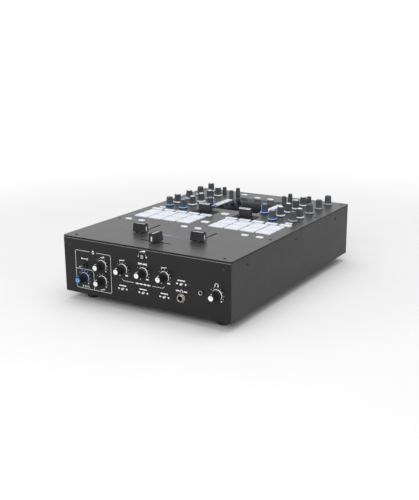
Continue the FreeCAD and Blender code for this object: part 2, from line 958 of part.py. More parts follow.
def make_feet():
    feet = []
    for side, way in SIDES.items():
        for end, towards in (("front", -1), ("rear", 1)):
            x = way * (body_width / 2 - dim.foot_inset)
            y = from_front(body_depth / 2 + towards * (body_depth / 2 - dim.foot_inset))
            size = (dim.foot_radius, dim.foot_height)
            feet.append(flat_rod(f"{side}_{end}_foot", *size, x, y, 0, UP, NUT_FLATS))
    return group("feet", feet)


# Sockets
FRONT_JACKS = [
    ("toggle_bush", -dim.toggle_column, dim.toggle_drop, "toggle"),
    ("phones_jack", dim.phones_column, dim.phones_drop, "jack"),
    ("phones_minijack", dim.mini_column, dim.mini_drop, "mini"),
]
JACK_SIZES = {
    "jack": {
        "bore": dim.jack_bore,
        "nut": dim.jack_nut,
        "bush": dim.jack_bush,
        "body": dim.jack_body,
        "depth": dim.jack_depth,
    },
    "mini": {
        "bore": dim.mini_bore,
        "nut": dim.mini_nut,
        "bush": dim.mini_bush,
        "body": dim.mini_body,
        "depth": dim.mini_depth,
    },
    "toggle": {
        "bore": dim.toggle_bore,
        "nut": dim.toggle_nut,
        "bush": dim.toggle_bush,
        "body": dim.toggle_body,
        "depth": dim.toggle_depth,
    },
}


def jack(name, kind, x, z, face, thickness, outward):
    """A phone jack clamped to a panel by its ring nut, with a blind bore that opens outward."""
    sizes = JACK_SIZES[kind]
    way = outward.y
    mouth = face + way * dim.jack_nut_depth
    inside = face - way * thickness
    inward = outward * -1
    nut_place = (x, mouth, z, inward)
    nut = flat_rod(f"{name}_nut", sizes["nut"], dim.jack_nut_depth, *nut_place, NUT_FLATS)
    snug = sizes["bush"] * math.cos(math.pi / FLATS)
    bush = flat_rod(f"{name}_bush", snug, thickness, x, face, z, inward)
    case_y = inside - way * sizes["depth"] / 2
    case_z = z - sizes["body"] / 2
    case = box(f"{name}_case", sizes["body"], sizes["depth"], sizes["body"], x, case_y, case_z)
    reach = dim.jack_nut_depth + thickness + sizes["depth"] - dim.socket_back
    bore = rod(f"{name}_bore", sizes["bore"], reach, x, mouth, z, inward)
    return minus(name, joined(f"{name}_solid", [nut, bush, case]), [bore])


def make_front_fittings():
    """The phones jacks and the bush of the microphone's toggle switch."""
    made = []
    for name, x, drop, kind in FRONT_JACKS:
        z = plate_top - drop
        made.append(jack(name, kind, x, z, front_face, dim.front_thickness, FORWARD))
    return group("front_fittings", made)


def make_mic_toggle():
    """A lever that stands out of its bush and tilts about the hub behind the panel."""
    place_of = (-dim.toggle_column, front_inside, plate_top - dim.toggle_drop)
    lever = rod(
        "toggle_lever",
        dim.toggle_radius,
        dim.front_thickness + dim.toggle_reach,
        *place_of,
        FORWARD,
    )
    hub_y = front_inside + dim.toggle_radius
    hub_place = (place_of[0], hub_y, place_of[2])
    hub = flat_rod("toggle_hub", dim.toggle_hub, 2 * dim.toggle_radius, *hub_place, FORWARD)
    return joined("mic_toggle", [lever, hub])


usb_size = (dim.usb_width + 2 * dim.usb_wall, dim.usb_height + 2 * dim.usb_wall)
inlet_size = (dim.inlet_width + 2 * dim.inlet_wall, dim.inlet_height + 2 * dim.inlet_wall)
rocker_size = (dim.rocker_height + 2 * dim.inlet_wall, dim.rocker_width + 2 * dim.inlet_wall)
rca_end = dim.rca_column + dim.rca_block / 2
trs_column = rca_end + dim.trs_space + dim.jack_body / 2
xlr_size = dim.xlr_block + 2 * dim.xlr_lip
xlr_column = trs_column + dim.jack_body / 2 + dim.xlr_space + xlr_size
usb_column = rca_end + dim.usb_space + (dim.usb_spacing + usb_size[0]) / 2
usb_end = usb_column + (dim.usb_spacing + usb_size[0]) / 2
inlet_column = usb_end + dim.inlet_space + inlet_size[0] / 2


def rear_blocks():
    """Every socket block in a rectangular opening: name, x, z, width and height."""
    row = pan_bottom + dim.rear_row
    blocks = []
    for side, way in SIDES.items():
        blocks.append((f"{side}_rca", way * dim.rca_column, row, dim.rca_block, dim.rca_block))
        blocks.append((f"{side}_usb", way * dim.usb_spacing / 2 - usb_column, row, *usb_size))
        xlr_x = xlr_column + way * xlr_size / 2
        blocks.append((f"{side}_xlr", xlr_x, row, dim.xlr_block, dim.xlr_block))
    inlet_z = row - dim.rocker_drop / 2
    blocks.append(("mains_inlet", -inlet_column, inlet_z, *inlet_size))
    blocks.append(("rocker_frame", -inlet_column, inlet_z + rocker_lift(), *rocker_size))
    return blocks


def rocker_lift():
    """How far the rocker's middle lies above the mains inlet's."""
    return dim.inlet_height / 2 + dim.rocker_width / 2 + 2 * dim.inlet_wall + dim.rocker_drop / 4


def rear_round_sockets():
    row = pan_bottom + dim.rear_row
    apart = dim.jack_body / 2 + dim.seat_gap
    return [("trs_upper", trs_column, row + apart), ("trs_lower", trs_column, row - apart)]


def recessed_block(name, x, z, width, height, lip, hollow, depth):
    """A block through the rear panel with a lip outside and a hollow that opens to the rear."""
    front = rear_inside - depth
    length = rear_face - front
    block = box(f"{name}_block", width, length, height, x, front + length / 2, z - height / 2)
    lip_size = (width + 2 * lip, dim.socket_lip, height + 2 * lip)
    lip_y = rear_face + dim.socket_lip / 2
    plate = box(f"{name}_lip", *lip_size, x, lip_y, z - height / 2 - lip)
    return minus(name, joined(f"{name}_solid", [block, plate]), [hollow])


def square_hollow(name, x, z, width, height, depth):
    reach = depth + dim.rear_thickness + dim.socket_lip - dim.socket_back
    middle = rear_face + dim.socket_lip - reach / 2
    return box(f"{name}_hollow", width, reach, height, x, middle, z - height / 2)


def round_hollow(name, x, z, radius, depth):
    reach = depth + dim.rear_thickness + dim.socket_lip - dim.socket_back
    return rod(f"{name}_hollow", radius, reach, x, rear_face + dim.socket_lip, z, FORWARD)


def rca_block(name, x, z, width, height):
    """Two rows of two phono sockets on one block that fills its opening."""
    depth = dim.rca_length
    front = rear_inside - depth
    length = rear_face - front
    parts = [box(f"{name}_block", width, length, height, x, front + length / 2, z - height / 2)]
    bores = []
    for column in (-0.5, 0.5):
        for row in (-0.5, 0.5):
            at = (x + column * dim.rca_pitch, rear_face, z + row * dim.rca_pitch)
            number = len(bores)
            barrel = (dim.rca_radius, dim.rca_length, *at, REARWARD, NUT_FLATS)
            parts.append(flat_rod(f"{name}_{number}", *barrel))
            mouth = (at[0], rear_face + dim.rca_length, at[2])
            bores.append(
                flat_rod(f"{name}_bore_{number}", dim.rca_bore, dim.rca_length, *mouth, FORWARD)
            )
    return minus(name, joined(f"{name}_solid", parts), bores)


def make_rear_sockets():
    made = []
    for name, x, z, width, height in rear_blocks():
        if name.endswith("_rca"):
            made.append(rca_block(name, x, z, width, height))
            continue
        if name.endswith("_xlr"):
            depth = dim.xlr_depth
            hollow = round_hollow(name, x, z, dim.xlr_bore, depth)
            lip = dim.xlr_lip
        elif name.endswith("_usb"):
            depth = dim.usb_depth
            hollow = square_hollow(name, x, z, dim.usb_width, dim.usb_height, depth)
            lip = dim.socket_lip
        elif name == "mains_inlet":
            depth = dim.inlet_depth
            hollow = square_hollow(name, x, z, dim.inlet_width, dim.inlet_height, depth)
            lip = dim.socket_lip
        else:
            depth = dim.rocker_depth + dim.socket_back + dim.rocker_gap
            room = 2 * dim.rocker_gap
            opening = (dim.rocker_height + room, dim.rocker_width + room)
            hollow = square_hollow(name, x, z, *opening, depth)
            lip = dim.socket_lip
        made.append(recessed_block(name, x, z, width, height, lip, hollow, depth))
    for name, x, z in rear_round_sockets():
        made.append(jack(name, "jack", x, z, rear_face, dim.rear_thickness, REARWARD))
    ground_z = pan_bottom + dim.rear_row - dim.rca_block
    post = (dim.ground_radius, dim.ground_length, 0, rear_face, ground_z)
    made.append(flat_rod("ground_post", *post, REARWARD))
    return group("rear_sockets", made)


def make_power_switch():
    """A rocker with two sloped halves, pivoted along Z inside its frame."""
    body = new_body("power_switch")
    half = dim.rocker_height / 2
    profile = new_sketch(body, "XY")
    draw_polygon(
        profile,
        [
            (-half, 0),
            (-half / 2, -dim.rocker_depth / 2),
            (half / 2, -dim.rocker_depth / 2),
            (half, 0),
            (half, dim.rocker_rise),
            (0, dim.rocker_rise / 2),
            (-half, dim.rocker_rise),
        ],
    )
    pad(body, profile, dim.rocker_width, "Symmetric")
    x, z = next((x, z) for name, x, z, _, _ in rear_blocks() if name == "rocker_frame")
    place(body, x, rear_face + dim.socket_lip, z)
    return body


# Switches, screen and inner pieces
def make_front_switches():
    """The four slide-switch nubs, each at the middle of its travel."""
    nubs = []
    depth = dim.switch_rise + dim.front_thickness - dim.seat_gap
    for number, (x, drop) in enumerate(SWITCHES):
        y = front_inside - dim.seat_gap - depth / 2
        z = plate_top - drop - dim.switch_height / 2
        nubs.append(box(f"nub_{number}", dim.switch_nub, depth, dim.switch_height, x, y, z))
    return group("front_switches", nubs)


def make_touch_screen():
    body = new_body("touch_screen")
    glass = new_sketch(body, "XY")
    draw_rectangle(glass, term(0), term(0), dim.screen_width, dim.screen_depth)
    pad(body, glass, dim.plate_thickness)
    module = new_sketch(body, "XY")
    lip = 2 * dim.screen_lip
    draw_rectangle(module, term(0), term(0), dim.screen_width + lip, dim.screen_depth + lip)
    pad(body, module, dim.screen_module, downward=True)
    place(body, 0, from_front(screen_row), plate_bottom)
    return body


def make_circuit_board():
    """The boards under the plate and behind the front, with the pots, switches and faders on them."""
    front_edge = from_front(pads_row - dim.pad_depth / 2)
    rear_edge = from_front(body_depth - dim.board_margin)
    width = body_width - 2 * (dim.board_margin + dim.pan_flange)
    length = rear_edge - front_edge
    middle = (rear_edge + front_edge) / 2
    under = board_top - dim.board_thickness
    parts = [box("main_board", width, length, dim.board_thickness, 0, middle, under)]
    for name, _, x, row in plate_knobs():
        pot = (dim.pot_size, dim.pot_size, dim.board_drop)
        parts.append(box(f"{name}_pot", *pot, x, from_front(row), board_top))
    for name, _, x, drop in FRONT_KNOBS:
        y = front_inside + dim.board_drop / 2
        z = plate_top - drop - dim.pot_size / 2
        parts.append(box(f"{name}_pot", dim.pot_size, dim.board_drop, dim.pot_size, x, y, z))
    for number, (x, drop) in enumerate(SWITCHES):
        y = front_inside + dim.board_drop / 2
        z = plate_top - drop - dim.switch_body / 2
        width_of = dim.switch_nub + dim.switch_travel + dim.switch_body
        parts.append(
            box(f"switch_{number}", width_of, dim.board_drop, dim.switch_body, x, y, z)
        )
    return group("circuit_board", parts + fader_units())


def make_power_supply():
    y = rear_inside - dim.supply_setback - dim.supply_depth / 2
    floor = pan_bottom + dim.pan_wall
    size = (dim.supply_width, dim.supply_depth, dim.supply_height)
    return box("power_supply", *size, 0, y, floor)


def make_keys():
    patterns = {}
    for kind, size in KEY_SIZES.items():
        is_pad = kind == "pad"
        rise = dim.pad_rise if is_pad else dim.key_rise
        chamfer = dim.pad_chamfer if is_pad else dim.key_chamfer
        lip = dim.pad_lip if is_pad else None
        patterns[kind] = key_pattern(f"{kind}_pattern", *size, rise, chamfer, lip)
    made = [keys("centre_buttons", centre_key_cells(), patterns)]
    for side, way in SIDES.items():
        made.append(keys(f"{side}_pads", pad_cells(way), patterns))
        made.append(keys(f"{side}_buttons", side_key_cells(way), patterns))
    return made


def make_parts():
    parts = [
        make_base_pan(),
        make_front_panel(),
        make_rear_panel(),
        make_top_plate(),
        make_feet(),
        make_touch_screen(),
        make_circuit_board(),
        make_power_supply(),
        make_front_fittings(),
        make_mic_toggle(),
        make_rear_sockets(),
        make_power_switch(),
        make_front_switches(),
    ]
    return parts + make_fader_caps() + make_paddles() + make_keys() + make_knobs()


def check_and_write(parts):
    """Stops if anything failed to build, and otherwise writes one file for each part."""
    doc.recompute()
    for feature in doc.Objects:
        if "Invalid" in feature.State or "Error" in feature.State:
            raise RuntimeError(f"{feature.Label} failed to build: {feature.State}")
    for part in parts:
        if part.Shape.isNull() or not part.Shape.isValid():
            raise RuntimeError(f"{part.Label} has no valid shape")
    os.makedirs("parts", exist_ok=True)
    for part in parts:
        part.Shape.exportStep(f"parts/{part.Label}.step")


check_and_write(make_parts())
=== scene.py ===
"""Looks of a two-channel scratch mixer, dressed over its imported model.

Named sizes are millimetres in the model's own frame: +X is the player's right, +Y runs to the rear
and +Z is up. A row is measured from the plate's front edge towards the rear, and a drop from the
plate's top down the front panel. Meshes are made in metres.
"""

import math
from collections import namedtuple

import bmesh
import bpy
from mathutils import Euler, Matrix, Vector


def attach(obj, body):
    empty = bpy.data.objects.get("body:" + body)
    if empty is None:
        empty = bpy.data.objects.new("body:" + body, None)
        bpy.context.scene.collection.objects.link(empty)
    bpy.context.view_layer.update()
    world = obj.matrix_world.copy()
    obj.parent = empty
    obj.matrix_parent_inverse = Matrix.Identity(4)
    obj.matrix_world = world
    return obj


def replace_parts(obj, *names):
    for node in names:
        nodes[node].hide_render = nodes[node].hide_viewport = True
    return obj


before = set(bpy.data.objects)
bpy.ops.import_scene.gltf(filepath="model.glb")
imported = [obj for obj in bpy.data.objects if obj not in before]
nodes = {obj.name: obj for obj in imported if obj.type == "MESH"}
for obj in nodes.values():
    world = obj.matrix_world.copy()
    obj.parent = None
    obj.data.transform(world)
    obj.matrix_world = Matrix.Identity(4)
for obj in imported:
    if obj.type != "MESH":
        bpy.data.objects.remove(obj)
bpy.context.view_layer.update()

MM = 0.001
SIDES = {"left": -1, "right": 1}
PLATE_TOP = 92.0
PLATE_FRONT = -182.9
BOARD_TOP = 83.0
FRONT_FACE = -181.9
REAR_FACE = 187.9
SIDE_FACE = 132.5


def shift(x, y, z):
    """A move in millimetres."""
    return Matrix.Translation((x * MM, y * MM, z * MM))


FACING_FRONT = Matrix.Rotation(math.pi / 2, 4, "X")
FACING_REAR = Matrix.Rotation(math.pi, 4, "Z") @ FACING_FRONT
FACING_RIGHT = Matrix.Rotation(math.pi / 2, 4, "Z") @ FACING_FRONT
FACING_LEFT = Matrix.Rotation(-math.pi / 2, 4, "Z") @ FACING_FRONT
FRONT_SHEET = shift(0, FRONT_FACE, PLATE_TOP) @ FACING_FRONT


def row_y(row):
    """The Y place of a row."""
    return row + PLATE_FRONT


def front_at(x, drop, out=0.0):
    """A place on the front panel, with local z pointing out of it."""
    return FRONT_SHEET @ shift(x, -drop, out)


def rear_at(x, z, out=0.0):
    """A place on the rear panel, with local z pointing out of it."""
    return shift(x, REAR_FACE + out, z) @ FACING_REAR


def middle_of(node):
    """The middle of a model node's box, in millimetres."""
    corners = [nodes[node].matrix_world @ Vector(corner) for corner in nodes[node].bound_box]
    return [(min(places) + max(places)) / 2 / MM for places in zip(*corners)]


def front_place(node):
    """The x and the drop of a model node on the front panel."""
    x, _, z = middle_of(node)
    return x, PLATE_TOP - z


def polar(x, y, reach, degrees):
    """A place at a reach from another, in a direction counted from +x towards +y."""
    angle = math.radians(degrees)
    return x + reach * math.cos(angle), y + reach * math.sin(angle)


def linked(name, data):
    """A new object in the scene."""
    made = bpy.data.objects.new(name, data)
    bpy.context.scene.collection.objects.link(made)
    return made


# Materials
NOISE_LOW, NOISE_HIGH = 0.3, 0.7
MILKY_WEIGHT = 0.15

# Textures: the size of the clouds, the size of the grain and the depth of the grain
RUBBERY = (4.0, 0.25, 0.005)
MOULDED = (5.0, 0.3, 0.003)
PRINTED = (3.0, 0.2, 0.002)
TURNED = (2.0, 0.2, 0.004)
PLATED = (2.0, 0.2, 0.003)
POLISHED = (30.0, 1.5, 0.0002)


def shader_of(name):
    """A new material, with its nodes and its main shader."""
    made = bpy.data.materials.new(name)
    made.use_nodes = True
    return made, made.node_tree, made.node_tree.nodes["Principled BSDF"]


def feed(node, inputs):
    """Gives a shader node its inputs: values, or outputs of other nodes."""
    for name, source in inputs.items():
        if isinstance(source, bpy.types.NodeSocket):
            node.id_data.links.new(source, node.inputs[name])
        else:
            node.inputs[name].default_value = source


def noise(tree, size, detail=2.0):
    """Noise whose grains are about a size in millimetres, fixed to the piece."""
    place = tree.nodes.new("ShaderNodeTexCoord")
    grains = tree.nodes.new("ShaderNodeTexNoise")
    feed(grains, {"Vector": place.outputs["Object"]})
    feed(grains, {"Scale": 1.0 / (size * MM), "Detail": detail})
    return grains.outputs["Fac"]


def spread(tree, source, low, high):
    """A number that runs from low to high over the middle of a noise."""
    span = tree.nodes.new("ShaderNodeMapRange")
    feed(span, {"Value": source, "From Min": NOISE_LOW, "From Max": NOISE_HIGH})
    feed(span, {"To Min": low, "To Max": high})
    return span.outputs["Result"]


def blend_colour(tree, share, first, second):
    """A colour between two, by a share that a node gives."""
    mix = tree.nodes.new("ShaderNodeMix")
    mix.data_type = "RGBA"
    feed(mix, {"Factor": share, "A": (*first, 1.0), "B": (*second, 1.0)})
    return mix.outputs["Result"]


def raised(tree, size, depth):
    """The normal of a grain of that size, and that depth in millimetres."""
    bump = tree.nodes.new("ShaderNodeBump")
    feed(bump, {"Strength": 1.0, "Distance": depth * MM, "Height": noise(tree, size)})
    return bump.outputs["Normal"]


def surface(name, dark, light, roughness, texture, metallic=0.0, shine=0.5):
    """Colour and gloss that vary softly over the piece, with a fine grain."""
    mottle, grain, depth = texture
    made, tree, shader = shader_of(name)
    clouds = noise(tree, mottle, detail=4.0)
    inputs = {
        "Base Color": blend_colour(tree, clouds, dark, light),
        "Roughness": spread(tree, noise(tree, mottle / 3), *roughness),
        "Metallic": metallic,
        "Specular IOR Level": shine,
        "Normal": raised(tree, grain, depth),
    }
    feed(shader, inputs)
    return made


def plastic(name, dark, light, roughness):
    """A moulded plastic."""
    return surface(name, dark, light, roughness, MOULDED)


def printing_ink(name, dark, light):
    """An ink for signs and lines."""
    return surface(name, dark, light, (0.5, 0.6), PRINTED)


def make_milky(material, reach):
    """Lets light go that far into a material, as into silicone."""
    inputs = {
        "Subsurface Weight": MILKY_WEIGHT,
        "Subsurface Radius": (1.0, 1.0, 1.0),
        "Subsurface Scale": reach * MM,
    }
    feed(material.node_tree.nodes["Principled BSDF"], inputs)


PLATE_PAINT = surface(
    "plate_paint", (0.038, 0.038, 0.039), (0.043, 0.043, 0.044), (0.345, 0.375), (60.0, 0.35, 0.005)
)
# Darker paint for the plate's edge faces: painted shade of the dark line along them.
EDGE_SHADE_PAINT = surface(
    "edge_shade_paint", (0.008, 0.008, 0.009), (0.012, 0.012, 0.013),
    roughness=(0.45, 0.55), texture=(20.0, 0.35, 0.005), shine=0.2,
)
FRONT_PAINT = surface(
    "front_paint", (0.008, 0.008, 0.009), (0.011, 0.011, 0.012),
    roughness=(0.36, 0.44), texture=(50.0, 0.35, 0.006), shine=0.28,
)
# A lighter, half-metallic paint for the front panel's rounded upper edge: a painted highlight of the
# light that edge catches.
RIM_HIGHLIGHT_PAINT = surface(
    "rim_highlight_paint", (0.19, 0.19, 0.195), (0.23, 0.23, 0.235),
    roughness=(0.30, 0.38), texture=(20.0, 0.35, 0.004), metallic=0.4,
)
CASE_PAINT = surface(
    "case_paint", (0.015, 0.015, 0.016), (0.018, 0.018, 0.019), (0.50, 0.54), (60.0, 0.45, 0.015)
)
GRIP_RUBBER = surface(
    "grip_rubber", (0.055, 0.063, 0.071), (0.070, 0.080, 0.090), (0.36, 0.48), RUBBERY
)
BLACK_RUBBER = surface(
    "black_rubber", (0.009, 0.009, 0.010), (0.014, 0.014, 0.015), (0.46, 0.56), RUBBERY, shine=0.3
)
FOOT_RUBBER = surface(
    "foot_rubber", (0.014, 0.014, 0.014), (0.022, 0.022, 0.022), (0.7, 0.85), (6.0, 0.5, 0.03)
)
BLACK_PLASTIC = surface(
    "black_plastic", (0.018, 0.018, 0.020), (0.025, 0.025, 0.028), (0.36, 0.46), (8.0, 0.3, 0.004)
)
DULL_BLACK = surface(
    "dull_black", (0.007, 0.007, 0.008), (0.011, 0.011, 0.012),
    roughness=(0.62, 0.74), texture=(8.0, 0.4, 0.01), shine=0.25,
)
CAP_PLASTIC = surface(
    "cap_plastic", (0.014, 0.014, 0.016), (0.019, 0.019, 0.022),
    roughness=(0.30, 0.38), texture=(6.0, 0.3, 0.004), shine=0.26,
)
WHITE_PLASTIC = plastic("white_plastic", (0.80, 0.81, 0.82), (0.86, 0.87, 0.88), (0.32, 0.42))
GREY_PLASTIC = plastic("grey_plastic", (0.26, 0.27, 0.28), (0.32, 0.33, 0.34), (0.30, 0.40))
BLUE_PLASTIC = plastic("blue_plastic", (0.07, 0.30, 0.78), (0.10, 0.36, 0.86), (0.26, 0.36))
# A lighter blue for the tops of blue collars and stripes: a painted highlight.
SKY_HIGHLIGHT_PLASTIC = plastic("sky_highlight_plastic", (0.15, 0.40, 0.82), (0.19, 0.45, 0.88), (0.26, 0.36))
NAVY_PLASTIC = plastic("navy_plastic", (0.012, 0.055, 0.25), (0.017, 0.07, 0.31), (0.30, 0.40))
SLATE_PLASTIC = plastic("slate_plastic", (0.20, 0.26, 0.36), (0.25, 0.32, 0.43), (0.34, 0.44))
RED_PLASTIC = surface(
    "red_plastic", (0.42, 0.02, 0.018), (0.52, 0.03, 0.025), (0.30, 0.40), (4.0, 0.3, 0.003)
)
PAD_SILICONE = surface(
    "pad_silicone", (0.68, 0.71, 0.78), (0.74, 0.77, 0.84), (0.48, 0.60), (9.0, 0.3, 0.006)
)
make_milky(PAD_SILICONE, reach=0.8)
KEY_PLASTIC = plastic("key_plastic", (0.72, 0.75, 0.81), (0.78, 0.81, 0.87), (0.34, 0.44))
make_milky(KEY_PLASTIC, reach=0.6)
WHITE_INK = printing_ink("white_ink", (0.80, 0.80, 0.80), (0.88, 0.88, 0.88))
GREY_INK = printing_ink("grey_ink", (0.36, 0.36, 0.37), (0.44, 0.44, 0.45))
BLUE_INK = printing_ink("blue_ink", (0.09, 0.26, 0.78), (0.11, 0.31, 0.86))
PALE_INK = printing_ink("pale_ink", (0.46, 0.52, 0.74), (0.52, 0.58, 0.82))
NICKEL = surface(
    "nickel", (0.30, 0.27, 0.23), (0.44, 0.40, 0.35), (0.12, 0.22), PLATED, metallic=1.0
)
STEEL = surface("steel", (0.62, 0.62, 0.63), (0.72, 0.72, 0.73), (0.32, 0.42), TURNED, metallic=1.0)
GOLD = surface("gold", (0.62, 0.44, 0.18), (0.74, 0.54, 0.24), (0.16, 0.26), PLATED, metallic=1.0)
SHAFT_STEEL = surface(
    "shaft_steel", (0.42, 0.42, 0.43), (0.54, 0.54, 0.55), (0.24, 0.34), TURNED, metallic=1.0
)
BLACK_STEEL = surface(
    "black_steel", (0.012, 0.012, 0.013), (0.020, 0.020, 0.021), (0.34, 0.46), TURNED, metallic=0.2
)
SCREEN_GLASS = surface(
    "screen_glass", (0.006, 0.006, 0.008), (0.008, 0.008, 0.011),
    roughness=(0.05, 0.07), texture=POLISHED, shine=0.0015,
)
SCREEN_PANE = surface(
    "screen_pane", (0.009, 0.010, 0.014), (0.012, 0.013, 0.018),
    roughness=(0.05, 0.07), texture=POLISHED, shine=0.0015,
)
BOARD_GREEN = surface(
    "board_green", (0.004, 0.014, 0.007), (0.006, 0.020, 0.010), (0.35, 0.5), (6.0, 0.6, 0.01)
)
SUPPLY_SHEET = surface(
    "supply_sheet", (0.42, 0.42, 0.43), (0.52, 0.52, 0.53),
    roughness=(0.32, 0.45), texture=(8.0, 0.4, 0.008), metallic=1.0,
)


# Meshes
def rounded(width, depth, radius, steps=4):
    """The outline of a rectangle with round corners, in millimetres about the middle."""
    points = []
    for number in range(4):
        across = (width / 2 - radius) * (1 if number in (0, 3) else -1)
        along = (depth / 2 - radius) * (1 if number in (0, 1) else -1)
        for step in range(steps + 1):
            points.append(polar(across, along, radius, 90 * (number + step / steps)))
    return points


def rounded_sections(outlines, radius):
    """Sections for a loft, from outlines of (width, depth, height)."""
    return [(rounded(width, depth, radius), height) for width, depth, height in outlines]


class Form:
    """A mesh in the making, with its own material for each patch."""

    def __init__(self):
        self.mesh = bmesh.new()
        self.materials = []

    def slot(self, material):
        """The number of a material in this mesh."""
        if material not in self.materials:
            self.materials.append(material)
        return self.materials.index(material)

    def skin(self, rings, material):
        """Joins rings of corners in turn; a ring of one corner is a tip."""
        slot = self.slot(material)
        for lower, upper in zip(rings, rings[1:]):
            count = max(len(lower), len(upper))
            for number in range(count):
                after = (number + 1) % count
                if len(lower) == 1:
                    corners = (lower[0], upper[after], upper[number])
                elif len(upper) == 1:
                    corners = (lower[number], lower[after], upper[0])
                else:
                    corners = (lower[number], lower[after], upper[after], upper[number])
                self.mesh.faces.new(corners).material_index = slot

    def lathe(self, profile, material, at=Matrix(), turns=48, ribs=0, rib_depth=0.0):
        """Turns a line of (radius, height, ribbed share) about Z."""
        rings = []
        for radius, height, *share in profile:
            if radius < 1e-6:
                rings.append([self.mesh.verts.new(at @ Vector((0, 0, height * MM)))])
                continue
            cut = rib_depth * share[0] if share else 0.0
            ring = []
            for number in range(turns):
                angle = 2 * math.pi * number / turns
                wave = 0.5 - 0.5 * math.cos(angle * ribs)
                reach = (radius - cut * wave**2) * MM
                spot = Vector((reach * math.cos(angle), reach * math.sin(angle), height * MM))
                ring.append(self.mesh.verts.new(at @ spot))
            rings.append(ring)
        self.skin(rings, material)

    def loft(self, sections, material, at=Matrix()):
        """Joins outlines of (points, height), with flat ends."""
        rings = []
        for points, height in sections:
            corners = [Vector((x * MM, y * MM, height * MM)) for x, y in points]
            rings.append([self.mesh.verts.new(at @ corner) for corner in corners])
        self.skin(rings, material)
        for ends in (reversed(rings[0]), rings[-1]):
            self.mesh.faces.new(list(ends)).material_index = self.slot(material)

    def slab(self, size, material, at=Matrix(), *, corner, edge):
        """A block on z 0 with round upright corners and a softened top edge."""
        width, depth, height = size
        outlines = [
            (width, depth, 0.0),
            (width, depth, height - edge),
            (width - 0.6 * edge, depth - 0.6 * edge, height - 0.3 * edge),
            (width - 2 * edge, depth - 2 * edge, height),
        ]
        self.loft(rounded_sections(outlines, corner), material, at)

    def data(self, name, smooth):
        """Ends the making: the mesh by itself."""
        made = bpy.data.meshes.new(name)
        bmesh.ops.recalc_face_normals(self.mesh, faces=self.mesh.faces)
        self.mesh.to_mesh(made)
        self.mesh.free()
        for material in self.materials:
            made.materials.append(material)
        made.polygons.foreach_set("use_smooth", [True] * len(made.polygons))
        made.set_sharp_from_angle(angle=math.radians(smooth))
        return made

    def piece(self, name, body, slot, at=Matrix(), smooth=40.0):
        """Ends the making: an object that rides on a body."""
        return put(self.data(name, smooth), name, body, at)


def put(data, name, body, at):
    """An object with that mesh, placed and riding on a body."""
    made = linked(name, data)
    made.matrix_world = at
    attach(made, body)
    return made


class Ink:
    """Printed marks on one flat face, with places in millimetres on that face.

    Each mark lies a hair higher than the one before, so marks that cross never share a plane.
    """

    SUNK = -0.02
    LIFT = 0.03
    HAIR = 0.0004
    ARC_STEPS = 28
    DOT_CORNERS = 16

    def __init__(self, at, material=WHITE_INK):
        self.form = Form()
        self.at = at
        self.material = material
        self.lift = self.LIFT

    def patch(self, outline, material=None):
        """A filled outline."""
        self.lift += self.HAIR
        sections = [(outline, self.SUNK), (outline, self.lift)]
        self.form.loft(sections, material or self.material, self.at)

    def line(self, points, width, material=None):
        """A ribbon through points, with mitred corners and square ends."""
        left, right = [], []
        for number, point in enumerate(points):
            before = Vector(points[max(number - 1, 0)])
            after = Vector(points[min(number + 1, len(points) - 1)])
            here = Vector(point)
            first = (here - before).normalized() if here != before else (after - here).normalized()
            second = (after - here).normalized() if here != after else first
            along = (first + second).normalized()
            reach = width / 2 / max(along.dot(first), 0.5)
            across = Vector((-along.y, along.x)) * reach
            left.append(tuple(here + across))
            right.append(tuple(here - across))
        self.patch(left + right[::-1], material)

    def arc(self, x, y, radius, start, end, width, end_width=None, material=None):
        """A bow between two angles, in degrees counted from +x towards +y, that may grow wider."""
        inner, outer = [], []
        for number in range(self.ARC_STEPS + 1):
            share = number / self.ARC_STEPS
            angle = start + (end - start) * share
            half = (width + ((end_width or width) - width) * share) / 2
            inner.append(polar(x, y, radius - half, angle))
            outer.append(polar(x, y, radius + half, angle))
        self.patch(outer + inner[::-1], material)

    def ring(self, x, y, radius, width, material=None):
        """A circle that is left open by a degree, so that its outline doesn't touch itself."""
        self.arc(x, y, radius, 0, 359, width, material=material)

    def dot(self, x, y, radius, material=None):
        """A filled circle."""
        angles = [360 * number / self.DOT_CORNERS for number in range(self.DOT_CORNERS)]
        self.patch([polar(x, y, radius, angle) for angle in angles], material)

    def dots(self, x, y, reach, angles, radius, material=None):
        """Dots on a circle round a place, at angles in degrees."""
        for angle in angles:
            self.dot(*polar(x, y, reach, angle), radius, material)

    def bar(self, x, y, width, height):
        """A filled rectangle with slightly rounded corners."""
        self.patch([(x + a, y + b) for a, b in rounded(width, height, 0.15, steps=2)])

    def piece(self, name, slot):
        """Ends the printing: an object on the chassis."""
        return self.form.piece(name, "chassis", slot)


def dress(node, *materials, pick=None):
    """Gives a model node its material, or one of several for each face."""
    data = nodes[node].data
    data.materials.clear()
    for material in materials:
        data.materials.append(material)
    if pick:
        turn = nodes[node].matrix_world
        for face in data.polygons:
            middle = turn @ face.center / MM
            face.material_index = pick(middle, turn.to_3x3() @ face.normal)


def soft_edges(node, width):
    """Lets the edges of a model node catch the light."""
    weld = nodes[node].modifiers.new("weld", "WELD")
    weld.merge_threshold = 1e-6
    bevel = nodes[node].modifiers.new("soft_edges", "BEVEL")
    bevel.width = width * MM
    bevel.segments = 2
    bevel.limit_method = "ANGLE"
    bevel.angle_limit = math.radians(35.0)
    bevel.harden_normals = True


